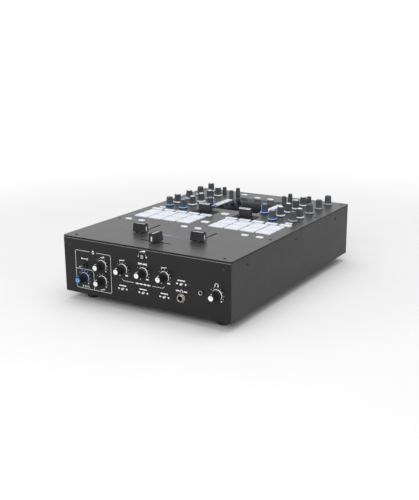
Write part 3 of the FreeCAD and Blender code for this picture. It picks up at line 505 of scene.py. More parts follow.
# Knobs: profiles are (radius, height, ribbed share)
KNOB_FOOT = [(3.0, 0.5), (6.7, 0.5), (6.9, 0.7), (6.9, 1.7)]
KNOB_COLLAR = [(6.9, 1.7), (6.85, 2.1), (6.6, 2.5), (6.1, 2.75), (5.5, 2.9)]
KNOB_GRIP = [
    (5.5, 2.9), (5.48, 3.4), (5.42, 3.9, 0.3), (5.36, 4.5, 1.0), (5.08, 9.5, 1.0),
    (4.9, 12.8, 1.0), (4.82, 13.5, 0.7), (4.64, 14.1, 0.2), (4.3, 14.45), (3.45, 14.5),
]
KNOB_DISC = [(3.45, 14.4), (3.45, 14.66), (3.2, 14.84), (2.2, 14.9), (0, 14.9)]
KNOB_RIBS = 18
KNOB_SMOOTH = 32.0
STRIPE_REACH = 5.06
STRIPE_FOOT = 2.6
STRIPE_LENGTH = 11.6
STRIPE_LEAN = 3.2
SLIM_RIBS = 14
SLIM_HEIGHTS = {"slim": 14.0, "selector": 11.5}

Stripe = namedtuple("Stripe", "material width rise length", defaults=[STRIPE_LENGTH])
KnobLook = namedtuple("KnobLook", "foot collar top mark stripes grip", defaults=[GRIP_RUBBER])

WHITE_STRIPE = [Stripe(WHITE_PLASTIC, 0.8, 0.06)]
BLUE_STRIPE = [Stripe(BLUE_PLASTIC, 0.8, 0.06)]
# A navy band with a sky-blue strip down its middle; the strip is a painted highlight.
WIDE_STRIPE = [Stripe(NAVY_PLASTIC, 3.4, 0.16), Stripe(SKY_HIGHLIGHT_PLASTIC, 2.0, 0.3)]
SHORT_STRIPE = [Stripe(WHITE_PLASTIC, 1.4, 0.06, length=3.0)]
SHORT_BLUE_STRIPE = [Stripe(BLUE_PLASTIC, 1.4, 0.06, length=3.0)]
# Grey feet under white collars are painted shade on the lower side of the ring; a sky-blue collar over
# a navy foot paints the lit top and the shaded lower side of one blue ring.
KNOB_LOOKS = {
    "white": KnobLook(GREY_PLASTIC, WHITE_PLASTIC, WHITE_PLASTIC, GREY_PLASTIC, WHITE_STRIPE),
    "white_ring": KnobLook(GREY_PLASTIC, WHITE_PLASTIC, GRIP_RUBBER, WHITE_PLASTIC, WHITE_STRIPE),
    "blue": KnobLook(NAVY_PLASTIC, SKY_HIGHLIGHT_PLASTIC, SLATE_PLASTIC, BLUE_PLASTIC, BLUE_STRIPE),
    "depth": KnobLook(NAVY_PLASTIC, SKY_HIGHLIGHT_PLASTIC, SLATE_PLASTIC, BLUE_PLASTIC, WIDE_STRIPE),
    "grey": KnobLook(GREY_PLASTIC, GREY_PLASTIC, GRIP_RUBBER, WHITE_PLASTIC, WHITE_STRIPE),
    "front": KnobLook(
        BLACK_RUBBER, BLACK_RUBBER, WHITE_PLASTIC, GREY_PLASTIC, SHORT_STRIPE, BLACK_RUBBER
    ),
    "front_blue": KnobLook(
        BLACK_RUBBER, BLACK_RUBBER, BLUE_PLASTIC, NAVY_PLASTIC, SHORT_BLUE_STRIPE, BLACK_RUBBER
    ),
}
CHANNEL_LOOKS = {
    "filter": "blue", "low": "white", "mid": "white", "high": "white", "gain": "white",
}
SIDE_LOOKS = {
    "left": ("blue", "white", "white", "white_ring", "white"),
    "right": ("grey", "white", "grey", "grey", "grey"),
}
CONTOURS = ("left_contour", "cross_contour", "right_contour")
FRONT_LOOKS = {
    "mic_level": "front",
    "mic_tone": "front",
    "mic_echo": "front_blue",
    **dict.fromkeys(CONTOURS, "front"),
    "phones": "front",
}
# How far the photograph's depth knobs are turned from straight up, in degrees
DEPTH_TURNS = {"left_depth_knob": -80.0, "right_depth_knob": 144.0}


def knob_form(look):
    """A ribbed, tapered cap on a flared collar, with a disc let into its top and a pointer.

    The stripes are bands on the rear side of the cap that run down from its tip.
    """
    form = Form()
    form.lathe(KNOB_FOOT, look.foot, turns=64)
    form.lathe(KNOB_COLLAR, look.collar, turns=64)
    form.lathe(KNOB_GRIP, look.grip, turns=8 * KNOB_RIBS, ribs=KNOB_RIBS, rib_depth=0.5)
    form.lathe(KNOB_DISC, look.top)
    form.slab((0.7, 2.4, 0.1), look.mark, shift(0, 1.6, 14.84), corner=0.1, edge=0.02)
    lean = Matrix.Rotation(math.radians(STRIPE_LEAN), 4, "X")
    for stripe in look.stripes:
        side = shift(0, STRIPE_REACH + stripe.rise, STRIPE_FOOT) @ lean
        at = side @ shift(0, 0, STRIPE_LENGTH - stripe.length)
        form.slab((stripe.width, 0.5, stripe.length), stripe.material, at, corner=0.15, edge=0.05)
    return form


def slim_form(height):
    """A slender ribbed knob without a collar."""
    profile = [
        (2.6, 0.6), (3.5, 0.6), (3.66, 0.9), (3.68, 1.6, 0.2), (3.64, 2.4, 1.0),
        (3.36, height - 1.6, 1.0), (3.28, height - 0.8, 0.5),
        (3.05, height - 0.3), (2.7, height - 0.12), (0, height - 0.1),
    ]
    form = Form()
    form.lathe(profile, GRIP_RUBBER, turns=8 * SLIM_RIBS, ribs=SLIM_RIBS, rib_depth=0.4)
    mark = shift(0, 1.4, height - 0.14)
    form.slab((0.5, 2.4, 0.08), GREY_INK, mark, corner=0.1, edge=0.02)
    return form


def plate_looks():
    """Every knob of the plate, with its look."""
    looks = {}
    for side in SIDES:
        for name, look in CHANNEL_LOOKS.items():
            looks[f"{side}_{name}_knob"] = look
        for number, look in enumerate(SIDE_LOOKS[side], start=1):
            looks[f"{side}_side_knob_{number}"] = look
        looks[f"{side}_depth_knob"] = "depth"
        looks[f"{side}_selector_knob"] = "selector"
        looks[f"{side}_loop_knob"] = "slim"
        looks[f"{side}_browse_knob"] = "slim"
    return looks


def make_knobs():
    """Caps for all knobs of the plate and the front."""
    shapes = {}
    for look, parts in KNOB_LOOKS.items():
        shapes[look] = knob_form(parts).data(f"knob_{look}", KNOB_SMOOTH)
    for look, height in SLIM_HEIGHTS.items():
        shapes[look] = slim_form(height).data(f"knob_{look}", KNOB_SMOOTH)
    for node, look in plate_looks().items():
        x, y, _ = middle_of(node)
        turn = Matrix.Rotation(math.radians(DEPTH_TURNS.get(node, 0.0)), 4, "Z")
        at = shift(x, y, PLATE_TOP) @ turn
        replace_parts(put(shapes[look], f"{node}_cap", node, at), node)
    for name, look in FRONT_LOOKS.items():
        node = f"{name}_knob"
        at = front_at(*front_place(node))
        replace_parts(put(shapes[look], f"{node}_cap", node, at), node)


# Pads and keys
PAD_SIZE = (22.9, 22.3)
PAD_RISE = 1.5
PADS_ACROSS, PADS_ALONG = 4, 2
PAD_COLUMN, PAD_COLUMN_PITCH = 27.3, 25.1
PAD_ROW, PAD_ROW_PITCH = 149.4, 24.5
KEY_SIZES = {"mode": (18.0, 8.0), "fx": (10.0, 5.4), "cue": (10.0, 6.0), "centre": (12.0, 8.0)}
KEY_RISE = 1.4
KEY_DEPTH = 4.0
MODE_KEYS, MODE_PITCH, MODE_ROW = 5, 22.0, 194.3
FX_KEYS, FX_PITCH, FX_COLUMN, FX_ROW = 6, 8.0, 45.0, 263.8
CUE_COLUMNS, CUE_ROW = (11.5, 86.2, 109.0), 119.0
OUTER_KEY_COLUMN, OUTER_KEY_ROW = 109.0, 206.8
CENTRE_KEYS = [
    ("centre", 0.0, 157.0), ("centre", 0.0, 213.8),
    ("cue", -12.0, 339.8), ("cue", 12.0, 339.8), ("cue", -43.0, 350.8), ("cue", 43.0, 350.8),
]


def key_data(name, size, rise, material, edge, corner):
    """A key that stands through the plate, with a rounded rim and a slightly domed top."""
    width, depth = size
    outlines = [
        (width, depth, -KEY_DEPTH),
        (width, depth, rise - edge),
        (width - 0.3 * edge, depth - 0.3 * edge, rise - 0.5 * edge),
        (width - edge, depth - edge, rise - 0.15 * edge),
        (width - 2.4 * edge, depth - 2.4 * edge, rise),
    ]
    form = Form()
    form.loft(rounded_sections(outlines, corner), material)
    return form.data(name, 50.0)


def side_keys(way):
    """Every button of one side: kind, x and row."""
    places = [("mode", way * number * MODE_PITCH, MODE_ROW) for number in range(1, MODE_KEYS + 1)]
    places += [("fx", way * FX_COLUMN, FX_ROW + FX_PITCH * number) for number in range(FX_KEYS)]
    places += [("cue", way * x, CUE_ROW) for x in CUE_COLUMNS]
    places.append(("cue", way * OUTER_KEY_COLUMN, OUTER_KEY_ROW))
    return places


def put_keys(node, shapes, places):
    """Buttons of one node: the first takes the place of the model's."""
    for number, (kind, x, row) in enumerate(places, start=1):
        at = shift(x, row_y(row), PLATE_TOP)
        made = put(shapes[kind], f"{node}_{number}", node, at)
        if number == 1:
            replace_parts(made, node)


def make_keys():
    """Buttons, and pads counted from the middle outwards and from the front to the rear."""
    pad = key_data("pad", PAD_SIZE, PAD_RISE, PAD_SILICONE, edge=0.7, corner=1.8)
    shapes = {}
    for kind, size in KEY_SIZES.items():
        shapes[kind] = key_data(kind, size, KEY_RISE, KEY_PLASTIC, edge=0.45, corner=1.2)
    for side, way in SIDES.items():
        node = f"{side}_pads"
        for number in range(PADS_ACROSS * PADS_ALONG):
            x = way * (PAD_COLUMN + (number % PADS_ACROSS) * PAD_COLUMN_PITCH)
            y = row_y(PAD_ROW + (number // PADS_ACROSS) * PAD_ROW_PITCH)
            made = put(pad, f"{side}_pad_{number + 1}", node, shift(x, y, PLATE_TOP))
            if number == 0:
                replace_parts(made, node)
        put_keys(f"{side}_buttons", shapes, side_keys(way))
    put_keys("centre_buttons", shapes, CENTRE_KEYS)


# Faders, paddles and screen: outlines are (width, depth, height)
CAP_OUTLINES = [
    (9.6, 20.2, 1.2), (10.2, 20.8, 1.6), (10.2, 20.8, 2.5), (9.8, 20.3, 2.9),
    (8.9, 19.0, 12.2), (8.5, 18.6, 12.8), (7.6, 17.7, 13.15), (5.4, 15.6, 12.8),
]
CAP_SLOPE = math.atan2(0.65, 9.3)
PADDLE_OUTLINES = [
    (19.0, 5.4, -5.0), (19.0, 5.8, 1.0), (20.0, 6.3, 13.0), (19.7, 6.0, 13.6), (19.0, 5.2, 13.96),
]
PADDLE_COLUMN, PADDLE_ROW = 35.0, 213.8
GLASS_SIZE = (75.6, 85.6, 0.35)
PANE_SIZE = (66.0, 76.0, 0.02)
SCREEN_ROW = 286.8


def cap_data():
    """A tapered fader cap on a stepped foot, with a dished top, white lines and a steel stem."""
    form = Form()
    form.loft(rounded_sections(CAP_OUTLINES, 0.7), CAP_PLASTIC)
    form.slab((1.3, 15.4, 0.1), WHITE_PLASTIC, shift(0, 0, 12.78), corner=0.1, edge=0.02)
    for way in (-1, 1):
        at = shift(0, way * 10.05, 2.9) @ Matrix.Rotation(way * CAP_SLOPE, 4, "X")
        form.slab((2.0, 0.4, 6.2), WHITE_PLASTIC, at, corner=0.15, edge=0.05)
    form.slab((4.0, 1.4, 13.0), STEEL, shift(0, 0, -9.8), corner=0.1, edge=0.1)
    return form.data("fader_cap", 30.0)


def make_fader_caps():
    """The crossfader's cap is long from front to rear, the other two from side to side."""
    shape = cap_data()
    for name in ("crossfader", "left_fader", "right_fader"):
        node = f"{name}_cap"
        x, y, _ = middle_of(node)
        at = shift(x, y, PLATE_TOP)
        if name != "crossfader":
            at = at @ Matrix.Rotation(math.pi / 2, 4, "Z")
        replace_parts(put(shape, f"{node}_body", node, at), node)


def make_paddles():
    """Flaring levers with a white line on the front and another on the top."""
    form = Form()
    form.loft(rounded_sections(PADDLE_OUTLINES, 0.5), BLACK_PLASTIC)
    form.slab((19.0, 0.3, 1.0), WHITE_PLASTIC, shift(0, -3.03, 12.5), corner=0.1, edge=0.05)
    form.slab((19.0, 1.6, 0.3), WHITE_PLASTIC, shift(0, -1.9, 13.69), corner=0.1, edge=0.05)
    shape = form.data("paddle_lever", 30.0)
    for side, way in SIDES.items():
        node = f"{side}_paddle"
        at = shift(way * PADDLE_COLUMN, row_y(PADDLE_ROW), PLATE_TOP)
        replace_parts(put(shape, f"{node}_lever", node, at), node)


def make_screen():
    """The glass over the display, with the dark picture area set inside its border."""
    form = Form()
    form.slab(GLASS_SIZE, SCREEN_GLASS, corner=0.8, edge=0.15)
    form.slab(PANE_SIZE, SCREEN_PANE, shift(0, 1.0, 0.345), corner=0.3, edge=0.005)
    form.piece("screen_glass", "chassis", "screen", shift(0, row_y(SCREEN_ROW), PLATE_TOP))


# Front fittings: nut and bore are radii, case is a width, and out is how far a bush stands out
Bush = namedtuple("Bush", "x drop nut bore depth out case nut_metal metal")

PHONES_COLUMN = 60.0
CONTOUR_COLUMN = 33.5
TOGGLE_PLACE = (-97.5, 38.5)
BUSHES = (
    Bush(PHONES_COLUMN, 58.5, 6.3, 3.3, 11.0, 4.2, 14.0, NICKEL, NICKEL),
    Bush(89.5, 46.4, 4.2, 1.8, 11.0, 2.4, 9.0, BLACK_STEEL, NICKEL),
    Bush(*TOGGLE_PLACE, 4.4, 2.4, 2.0, 2.6, 10.0, BLACK_STEEL, BLACK_STEEL),
)
BUSH_WALL = 1.5
THREAD_PITCH = 0.25
TOGGLE_PROFILE = [
    (0, -3.6), (1.8, -3.5), (1.9, -2.5), (1.0, -1.6), (0.9, 2.0), (1.0, 6.0), (1.2, 9.4),
    (1.1, 10.4), (0.7, 10.9), (0, 11.0),
]
SWITCH_PLACES = [
    (-CONTOUR_COLUMN, 62.0), (0.0, 62.0), (CONTOUR_COLUMN, 62.0), (PHONES_COLUMN, 40.0),
]


def bush_form(form, bush):
    """A nut with flats, and a threaded bush that stands out of it round a dark bore."""
    at = front_at(bush.x, bush.drop)
    nut, bore, out, rim = bush.nut, bush.bore, bush.out, bush.bore + BUSH_WALL
    nut_profile = [
        (nut, 0.0), (nut, 1.4, 1.0), (nut - 0.3, 1.8, 1.0), (nut - 0.8, 2.0),
        (rim + 0.4, 2.0), (rim + 0.3, 1.2),
    ]
    form.lathe(nut_profile, bush.nut_metal, at, turns=96, ribs=6, rib_depth=0.7)
    # Painted shade: a dull black ring in the groove between the nut and the bush.
    form.lathe([(rim + 0.4, 1.3), (rim - 0.2, 1.3)], DULL_BLACK, at)
    profile = []
    for number in range(int((out - 1.6) / THREAD_PITCH)):
        profile.append((rim - (0.2 if number % 2 else 0.0), 1.2 + THREAD_PITCH * number))
    profile += [(rim - 0.1, out - 0.3), (rim - 0.3, out), (bore + 0.4, out), (bore, out - 0.3)]
    form.lathe(profile, bush.metal, at)
    form.lathe([(bore, out - 0.25), (bore, -bush.depth), (0, -bush.depth)], DULL_BLACK, at)


def make_front_fittings():
    """The two phones jacks and the toggle's bush, each on its case behind the panel."""
    form = Form()
    for bush in BUSHES:
        bush_form(form, bush)
        at = front_at(bush.x, bush.drop, -12.0)
        form.slab((bush.case, bush.case, 9.0), BLACK_PLASTIC, at, corner=0.5, edge=0.3)
    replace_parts(form.piece("front_jacks", "chassis", "nickel", smooth=30.0), "front_fittings")


def make_mic_toggle():
    """A slim bat lever with a rounded tip."""
    form = Form()
    form.lathe(TOGGLE_PROFILE, STEEL, turns=24)
    at = front_at(*TOGGLE_PLACE)
    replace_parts(form.piece("mic_toggle_lever", "mic_toggle", "steel", at), "mic_toggle")


def make_switches():
    """Slide-switch nubs with a stepped grip."""
    form = Form()
    for x, drop in SWITCH_PLACES:
        at = front_at(x, drop, -2.2)
        form.slab((3.2, 2.4, 3.9), WHITE_PLASTIC, at, corner=0.3, edge=0.2)
        for step in (-1.0, 0.0, 1.0):
            at = front_at(x + step, drop, 1.65)
            form.slab((0.5, 2.3, 0.5), WHITE_PLASTIC, at, corner=0.15, edge=0.15)
    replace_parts(form.piece("switch_nubs", "front_switches", "switch", smooth=30.0), "front_switches")


# Rear sockets: places are x and z on the rear panel
SOCKET_LEVEL = 54.0
RCA_COLUMN, RCA_OFFSETS = 30.0, (-7.5, 7.5)
RCA_PLACES = [
    (way * RCA_COLUMN + a, SOCKET_LEVEL + b)
    for way in SIDES.values()
    for a in RCA_OFFSETS
    for b in RCA_OFFSETS
]
RCA_REACH, RCA_BORE = 4.4, 1.75
TRS_PLACES, TRS_REACH = [(58.0, 61.3), (58.0, 46.7)], 5.8
XLR_PLACES = [(82.0, SOCKET_LEVEL), (110.0, SOCKET_LEVEL)]
XLR_PIN_CIRCLE, XLR_PIN_ANGLES, XLR_SCREW = 4.6, (-90, 30, 150), 11.2
USB_PLACES = [(-72.7, SOCKET_LEVEL), (-55.7, SOCKET_LEVEL)]
USB_REACH = (4.45, 4.1)
GROUND_PLACE, GROUND_REACH = (0.0, 24.0), 3.6
INLET_PLACE = (-107.45, 46.0)
INLET_PINS = ((-7.0, -2.0), (7.0, -2.0), (0.0, 2.6))
ROCKER_PLACE = (-107.45, 66.6)
ROCKER_SLOPE = math.atan2(1.2, 7.5)
RCA_RING = [(4.2, 0.0), (5.6, 0.0), (5.6, 0.9), (5.3, 1.2), (4.2, 1.2)]
RCA_TIP = [(2.9, 8.6), (2.9, 8.96), (1.75, 8.96), (1.75, 8.6)]
XLR_SLEEVE = [(9.4, 1.0), (9.35, 1.19), (8.9, 1.19), (8.6, 0.4), (8.6, -9.0), (9.3, -9.0)]
XLR_PIN = [(1.2, -14.0), (1.2, -2.6), (0.8, -1.9), (0, -1.7)]
XLR_SCREW_HEAD = [(1.5, 1.2), (1.5, 1.6), (0.9, 2.0), (0, 2.1)]
ROCKER_RING = [(1.2, 0.0), (1.2, 0.05), (1.7, 0.05), (1.7, 0.0)]


def rear_look(middle, _):
    """Which material a face of the rear sockets has: plastic, nickel, steel or a dark bore."""
    plain, nickel, steel, dark = range(4)
    x, y, z = middle
    if y > REAR_FACE + 0.05:
        for px, pz in RCA_PLACES:
            reach = math.hypot(x - px, z - pz)
            if reach < RCA_REACH:
                return dark if reach < RCA_BORE else nickel
        if any(math.hypot(x - px, z - pz) < TRS_REACH for px, pz in TRS_PLACES):
            return nickel
        if math.hypot(x - GROUND_PLACE[0], z - GROUND_PLACE[1]) < GROUND_REACH:
            return steel
    across, along = USB_REACH
    if any(abs(x - px) < across and abs(z - pz) < along for px, pz in USB_PLACES):
        return steel
    return plain


def make_socket_details():
    """Coloured rings, contacts, tongues and pins of the rear sockets."""
    form = Form()
    for number, (x, z) in enumerate(RCA_PLACES):
        colour = RED_PLASTIC if number % 2 else WHITE_PLASTIC
        form.lathe(RCA_RING, colour, rear_at(x, z))
        form.lathe(RCA_TIP, colour, rear_at(x, z))
    for x, z in XLR_PLACES:
        at = rear_at(x, z)
        form.lathe(XLR_SLEEVE, BLACK_STEEL, at)
        for angle in XLR_PIN_ANGLES:
            spot = shift(*polar(0, 0, XLR_PIN_CIRCLE, angle), 0)
            form.lathe(XLR_PIN, GOLD, at @ spot, turns=16)
        for way in (-1, 1):
            spot = shift(way * XLR_SCREW, way * XLR_SCREW, 0)
            form.lathe(XLR_SCREW_HEAD, BLACK_STEEL, at @ spot, turns=20)
    for x, z in USB_PLACES:
        at = rear_at(x, z) @ shift(0, 0.2, -9.0)
        form.slab((5.6, 3.2, 8.0), WHITE_PLASTIC, at, corner=0.4, edge=0.3)
    for a, b in INLET_PINS:
        at = rear_at(*INLET_PLACE) @ shift(a, b, -16.0)
        form.slab((2.0, 4.0, 14.0), STEEL, at, corner=0.3, edge=0.4)
    form.piece("socket_contacts", "chassis", "sockets", smooth=30.0)


def make_rocker_marks():
    """The plain stroke and ring that every mains rocker has."""
    form = Form()
    x, z = ROCKER_PLACE
    for way in (-1, 1):
        slope = Matrix.Rotation(-way * ROCKER_SLOPE, 4, "Y")
        at = rear_at(x, z, 1.2) @ shift(way * 4.2, 0, 1.86) @ slope
        if way < 0:
            form.slab((0.5, 3.4, 0.05), WHITE_INK, at, corner=0.1, edge=0.01)
        else:
            form.lathe(ROCKER_RING, WHITE_INK, at, turns=32)
    form.piece("rocker_marks", "power_switch", "switch")


# Screws and feet
PLATE_SCREWS = ((118.0, 11.0), (125.5, 118.0), (125.5, 262.0), (125.5, 361.8))
SIDE_SCREWS, SIDE_SCREW_LEVEL = (-140.0, 0.0, 140.0), 78.0
FRONT_SCREWS = ((-17.2, 60.0), (72.5, 39.6), (-122.0, 12.0), (122.0, 12.0))
REAR_SCREWS = (
    (-126.0, 83.0), (126.0, 83.0), (-126.0, 20.0), (126.0, 20.0), (0.0, 83.0), (12.0, 24.0),
)
FOOT_COLUMNS, FOOT_ROWS = (-106.5, 106.5), (27.0, 344.8)
FOOT_PROFILE = [
    (0, 3.0), (3.6, 3.0), (3.8, 0.0), (7.8, 0.0), (8.3, 0.5), (8.8, 11.0), (9.0, 11.6),
    (9.0, 12.0), (0, 12.0),
]
FOOT_SCREW = [(3.2, 3.0), (3.0, 1.9), (2.2, 1.4), (0, 1.3)]


def screw_data(radius, height):
    """A low domed head with a cross recess, drawn as a flat dark cross of painted shade."""
    profile = [
        (radius, 0.0), (radius, 0.25 * height), (0.8 * radius, 0.75 * height),
        (0.45 * radius, height), (0, height),
    ]
    form = Form()
    form.lathe(profile, BLACK_STEEL, turns=32)
    # Painted shade: two dark flat slabs stand for the shade in the cross recess.
    for turn in (0, 1):
        at = shift(0, 0, height - 0.01) @ Matrix.Rotation(turn * math.pi / 2, 4, "Z")
        form.slab((1.1 * radius, 0.28 * radius, 0.03), DULL_BLACK, at, corner=0.05, edge=0.01)
    return form.data(f"screw_{radius:g}", 30.0)


def make_screws():
    """Screws of the plate, the side walls, the front and the rear."""
    plate = screw_data(2.3, 0.7)
    panel = screw_data(2.0, 0.8)
    places = []
    for way in SIDES.values():
        for x, row in PLATE_SCREWS:
            places.append((plate, shift(way * x, row_y(row), PLATE_TOP)))
        side = FACING_RIGHT if way > 0 else FACING_LEFT
        for y in SIDE_SCREWS:
            places.append((panel, shift(way * SIDE_FACE, y, SIDE_SCREW_LEVEL) @ side))
    places += [(panel, front_at(x, drop)) for x, drop in FRONT_SCREWS]
    places += [(panel, rear_at(x, z)) for x, z in REAR_SCREWS]
    for number, (shape, at) in enumerate(places, start=1):
        put(shape, f"screw_{number}", "chassis", at)


def make_feet():
    """Four rubber feet, each with its screw in a recess."""
    form = Form()
    for x in FOOT_COLUMNS:
        for row in FOOT_ROWS:
            at = shift(x, row_y(row), 0)
            form.lathe(FOOT_PROFILE, FOOT_RUBBER, at)
            form.lathe(FOOT_SCREW, STEEL, at, turns=24)
    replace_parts(form.piece("rubber_feet", "chassis", "feet", smooth=35.0), "feet")


# Dressing of the model
SOFT_EDGES = {"rear_panel": 0.3, "base_pan": 0.4, "paddle_bezels": 0.3, "power_switch": 0.3}
HIGHLIGHT_RIM_HEIGHT = 6.0


def plate_look(_, normal):
    """Plate paint on the top, darker paint on the edges as painted shade of the dark line along them.
    """
    return 0 if normal.z > 0.9 else 1


def front_look(middle, normal):
    """A lighter paint on the rounded upper edge, a painted highlight of the light it catches; paint
    elsewhere.
    """
    upper = middle.z > PLATE_TOP - HIGHLIGHT_RIM_HEIGHT
    return 1 if normal.y < -0.1 and normal.z > 0.1 and upper else 0


def board_look(middle, _):
    """Boards are green, everything that stands on them or behind the front is black."""
    return 0 if middle.z < BOARD_TOP + 0.05 and middle.y > FRONT_FACE + 20 else 1


def shaft_look(middle, _):
    """Steel on the end of the tension shaft; dark in its screwdriver slot, as painted shade."""
    return 0 if middle.y < FRONT_FACE - 0.5 else 1


def dress_model():
    """Materials for the model's own nodes, black plastic for those that pieces replace."""
    dress("top_plate", PLATE_PAINT, EDGE_SHADE_PAINT, pick=plate_look)
    dress("front_panel", FRONT_PAINT, RIM_HIGHLIGHT_PAINT, pick=front_look)
    dress("rear_panel", CASE_PAINT)
    dress("base_pan", CASE_PAINT)
    dress("circuit_board", BOARD_GREEN, DULL_BLACK, pick=board_look)
    dress("power_supply", SUPPLY_SHEET)
    dress("rear_sockets", BLACK_PLASTIC, NICKEL, STEEL, DULL_BLACK, pick=rear_look)
    dress("touch_screen", BLACK_PLASTIC)
    dress("paddle_bezels", DULL_BLACK)
    dress("power_switch", BLACK_PLASTIC)
    dress("tension_knob", SHAFT_STEEL, DULL_BLACK, pick=shaft_look)
    for name in nodes:
        if not nodes[name].data.materials:
            dress(name, BLACK_PLASTIC)
    for name, width in SOFT_EDGES.items():
        soft_edges(name, width)


# Prints: x runs to the right on the panel, and y is minus the drop
FINE_PEN, BOLD_PEN = 0.5, 1.0
DIAL_BOW, DIAL_DOTS = 7.4, 10.2
MIC_LEFT, MIC_TOP, MIC_RIGHT, MIC_BOTTOM = -113.0, 18.7, -52.5, 72.1
MIC_SIGN_X, MIC_SIGN_GAP = -82.2, (-88.3, -76.2)
ECHO_CORNER = [
    (MIC_LEFT, -44.6), (-85.5, -44.6), (MIC_SIGN_X, -47.8), (MIC_SIGN_X, -MIC_BOTTOM),
]
LOWER_SIGN_DROP = 69.0
CONTOUR_SIGN_DROP = 22.5
BRACKET_DROP = 50.3
PHONES_SIGN_DROP = 49.6
PLATE_LINE_ROW = 67.8


def dial(ink, x, drop, sweep=WHITE_INK, marks=WHITE_INK, dot=0.4, end=0.95):
    """Marks round a front knob: a bow, widest at its upper right, dots and a larger end dot."""
    ink.arc(x, -drop, DIAL_BOW, 142, 40, 0.3, 1.8, sweep)
    ink.arc(x, -drop, DIAL_BOW, 40, -40, 1.8, 0.4, sweep)
    ink.dots(x, -drop, DIAL_DOTS, range(138, -30, -27), dot, marks)
    ink.dot(x + 6.8, -drop - 7.2, end)


def wedge(ink, x, drop, width, height):
    """A level sign: a triangle that grows to the right."""
    low = -drop - height / 2
    ink.patch([(x - width / 2, low), (x + width / 2, low), (x + width / 2, low + height)])


def curve(ink, x, drop, width, height, crest):
    """A drawn line through points of a function that maps -1 to 1 onto -1 to 1."""
    points = []
    for step in range(17):
        share = step / 8 - 1
        points.append((x + share * width / 2, -drop + crest(share) * height / 2))
    ink.line(points, BOLD_PEN)


def arrow(ink, x, drop, width, height):
    """A double arrow, for something that can go either way."""
    ink.bar(x, -drop, width - 1.6 * height, 0.6 * height)
    for way in (-1, 1):
        tip, root = x + way * width / 2, x + way * (width / 2 - height)
        ink.patch([(root, -drop - height / 2), (root, -drop + height / 2), (tip, -drop)][::way])


def headphones(ink, x, drop, size):
    """A bow with an ear pad at each end."""
    ink.arc(x, -drop, 0.5 * size, 0, 180, 0.16 * size)
    for way in (-1, 1):
        ink.bar(x + way * 0.5 * size, -drop - 0.2 * size, 0.3 * size, 0.5 * size)


def microphone(ink, x, drop):
    """A capsule in its cradle, on a foot."""
    ink.dot(x, 0.9 - drop, 1.1)
    ink.bar(x, 0.2 - drop, 2.2, 1.4)
    ink.arc(x, -drop, 1.9, 190, 350, 0.6)
    ink.bar(x, -2.3 - drop, 0.7, 0.8)
    ink.bar(x, -2.9 - drop, 2.6, 0.6)


def on_off(ink, x, drop):
    """A filled and an open dot, joined by a bar."""
    ink.bar(x, -drop, 5.0, 1.0)
    ink.dot(x - 4.6, -drop, 1.3)
    ink.ring(x + 4.6, -drop, 1.0, 0.7)


def rounded_frame(ink, left, top, right, bottom, radius, gap):
    """A box with round corners that leaves a gap for a sign in its upper line."""
    ink.line([(left + radius, -top), (gap[0], -top)], FINE_PEN)
    ink.line([(gap[1], -top), (right - radius, -top)], FINE_PEN)
    ink.line([(left + radius, -bottom), (right - radius, -bottom)], FINE_PEN)
    for x in (left, right):
        ink.line([(x, -top - radius), (x, -bottom + radius)], FINE_PEN)
    ink.arc(left + radius, -top - radius, radius, 90, 180, FINE_PEN)
    ink.arc(right - radius, -top - radius, radius, 0, 90, FINE_PEN)
    ink.arc(left + radius, -bottom + radius, radius, 180, 270, FINE_PEN)
    ink.arc(right - radius, -bottom + radius, radius, 270, 360, FINE_PEN)


def print_microphone(ink):
    """The framed signs of the microphone's knobs and toggle."""
    rounded_frame(ink, MIC_LEFT, MIC_TOP, MIC_RIGHT, MIC_BOTTOM, 2.5, MIC_SIGN_GAP)
    ink.line(ECHO_CORNER, FINE_PEN)
    microphone(ink, MIC_SIGN_X, 18.1)
    inks = {"mic_level": [], "mic_tone": [], "mic_echo": [PALE_INK, BLUE_INK, 0.8]}
    for name, colours in inks.items():
        dial(ink, *front_place(f"{name}_knob"), *colours)
    wedge(ink, -67.0, 23.0, 7.6, 2.2)
    curve(ink, -67.4, LOWER_SIGN_DROP, 7.0, 1.8, lambda share: math.sin(math.pi * share))
    for number in range(4):
        ink.arc(-103.6 + 3.4 * number, -LOWER_SIGN_DROP, 1.6, -60, 60, BOLD_PEN)
    on_off(ink, -97.4, 29.7)


def print_contours(ink):
    """Marks of the three contour knobs, with a bracket that joins them."""
    for name in CONTOURS:
        x, drop = front_place(f"{name}_knob")
        dial(ink, x, drop, end=0.6)
        ink.bar(x + 7.2, -drop - 7.6, 4.4, 1.9)
        ink.dot(x - 4.0, -drop - 8.7, 0.8)
    for x in (-CONTOUR_COLUMN, CONTOUR_COLUMN):
        curve(ink, x, CONTOUR_SIGN_DROP, 8.6, 2.0, lambda share: share**3)
    for way in (-1, 1):
        curve(ink, 0.0, CONTOUR_SIGN_DROP, 14.6, way * 2.0, lambda share: share)
        corner = (way * 31.6, -BRACKET_DROP)
        ink.line([(way * 34.4, -47.6), corner, (way * 15.0, -BRACKET_DROP)], FINE_PEN)
    ink.bar(0.0, -BRACKET_DROP, 24.0, 1.0)
    for x in (-9.0, -3.0, 3.0, 9.0):
        ink.bar(x, -BRACKET_DROP, 2.4, 2.2)


def print_switches(ink):
    """A bar and a dot for the two ends of each slide switch, under a double arrow."""
    for x, drop in SWITCH_PLACES:
        ink.bar(x - 6.5, -drop, 3.0, 1.7)
        ink.dot(x + 6.5, -drop, 1.2)
        arrow(ink, x, drop - 4.5, 12.6, 2.3)


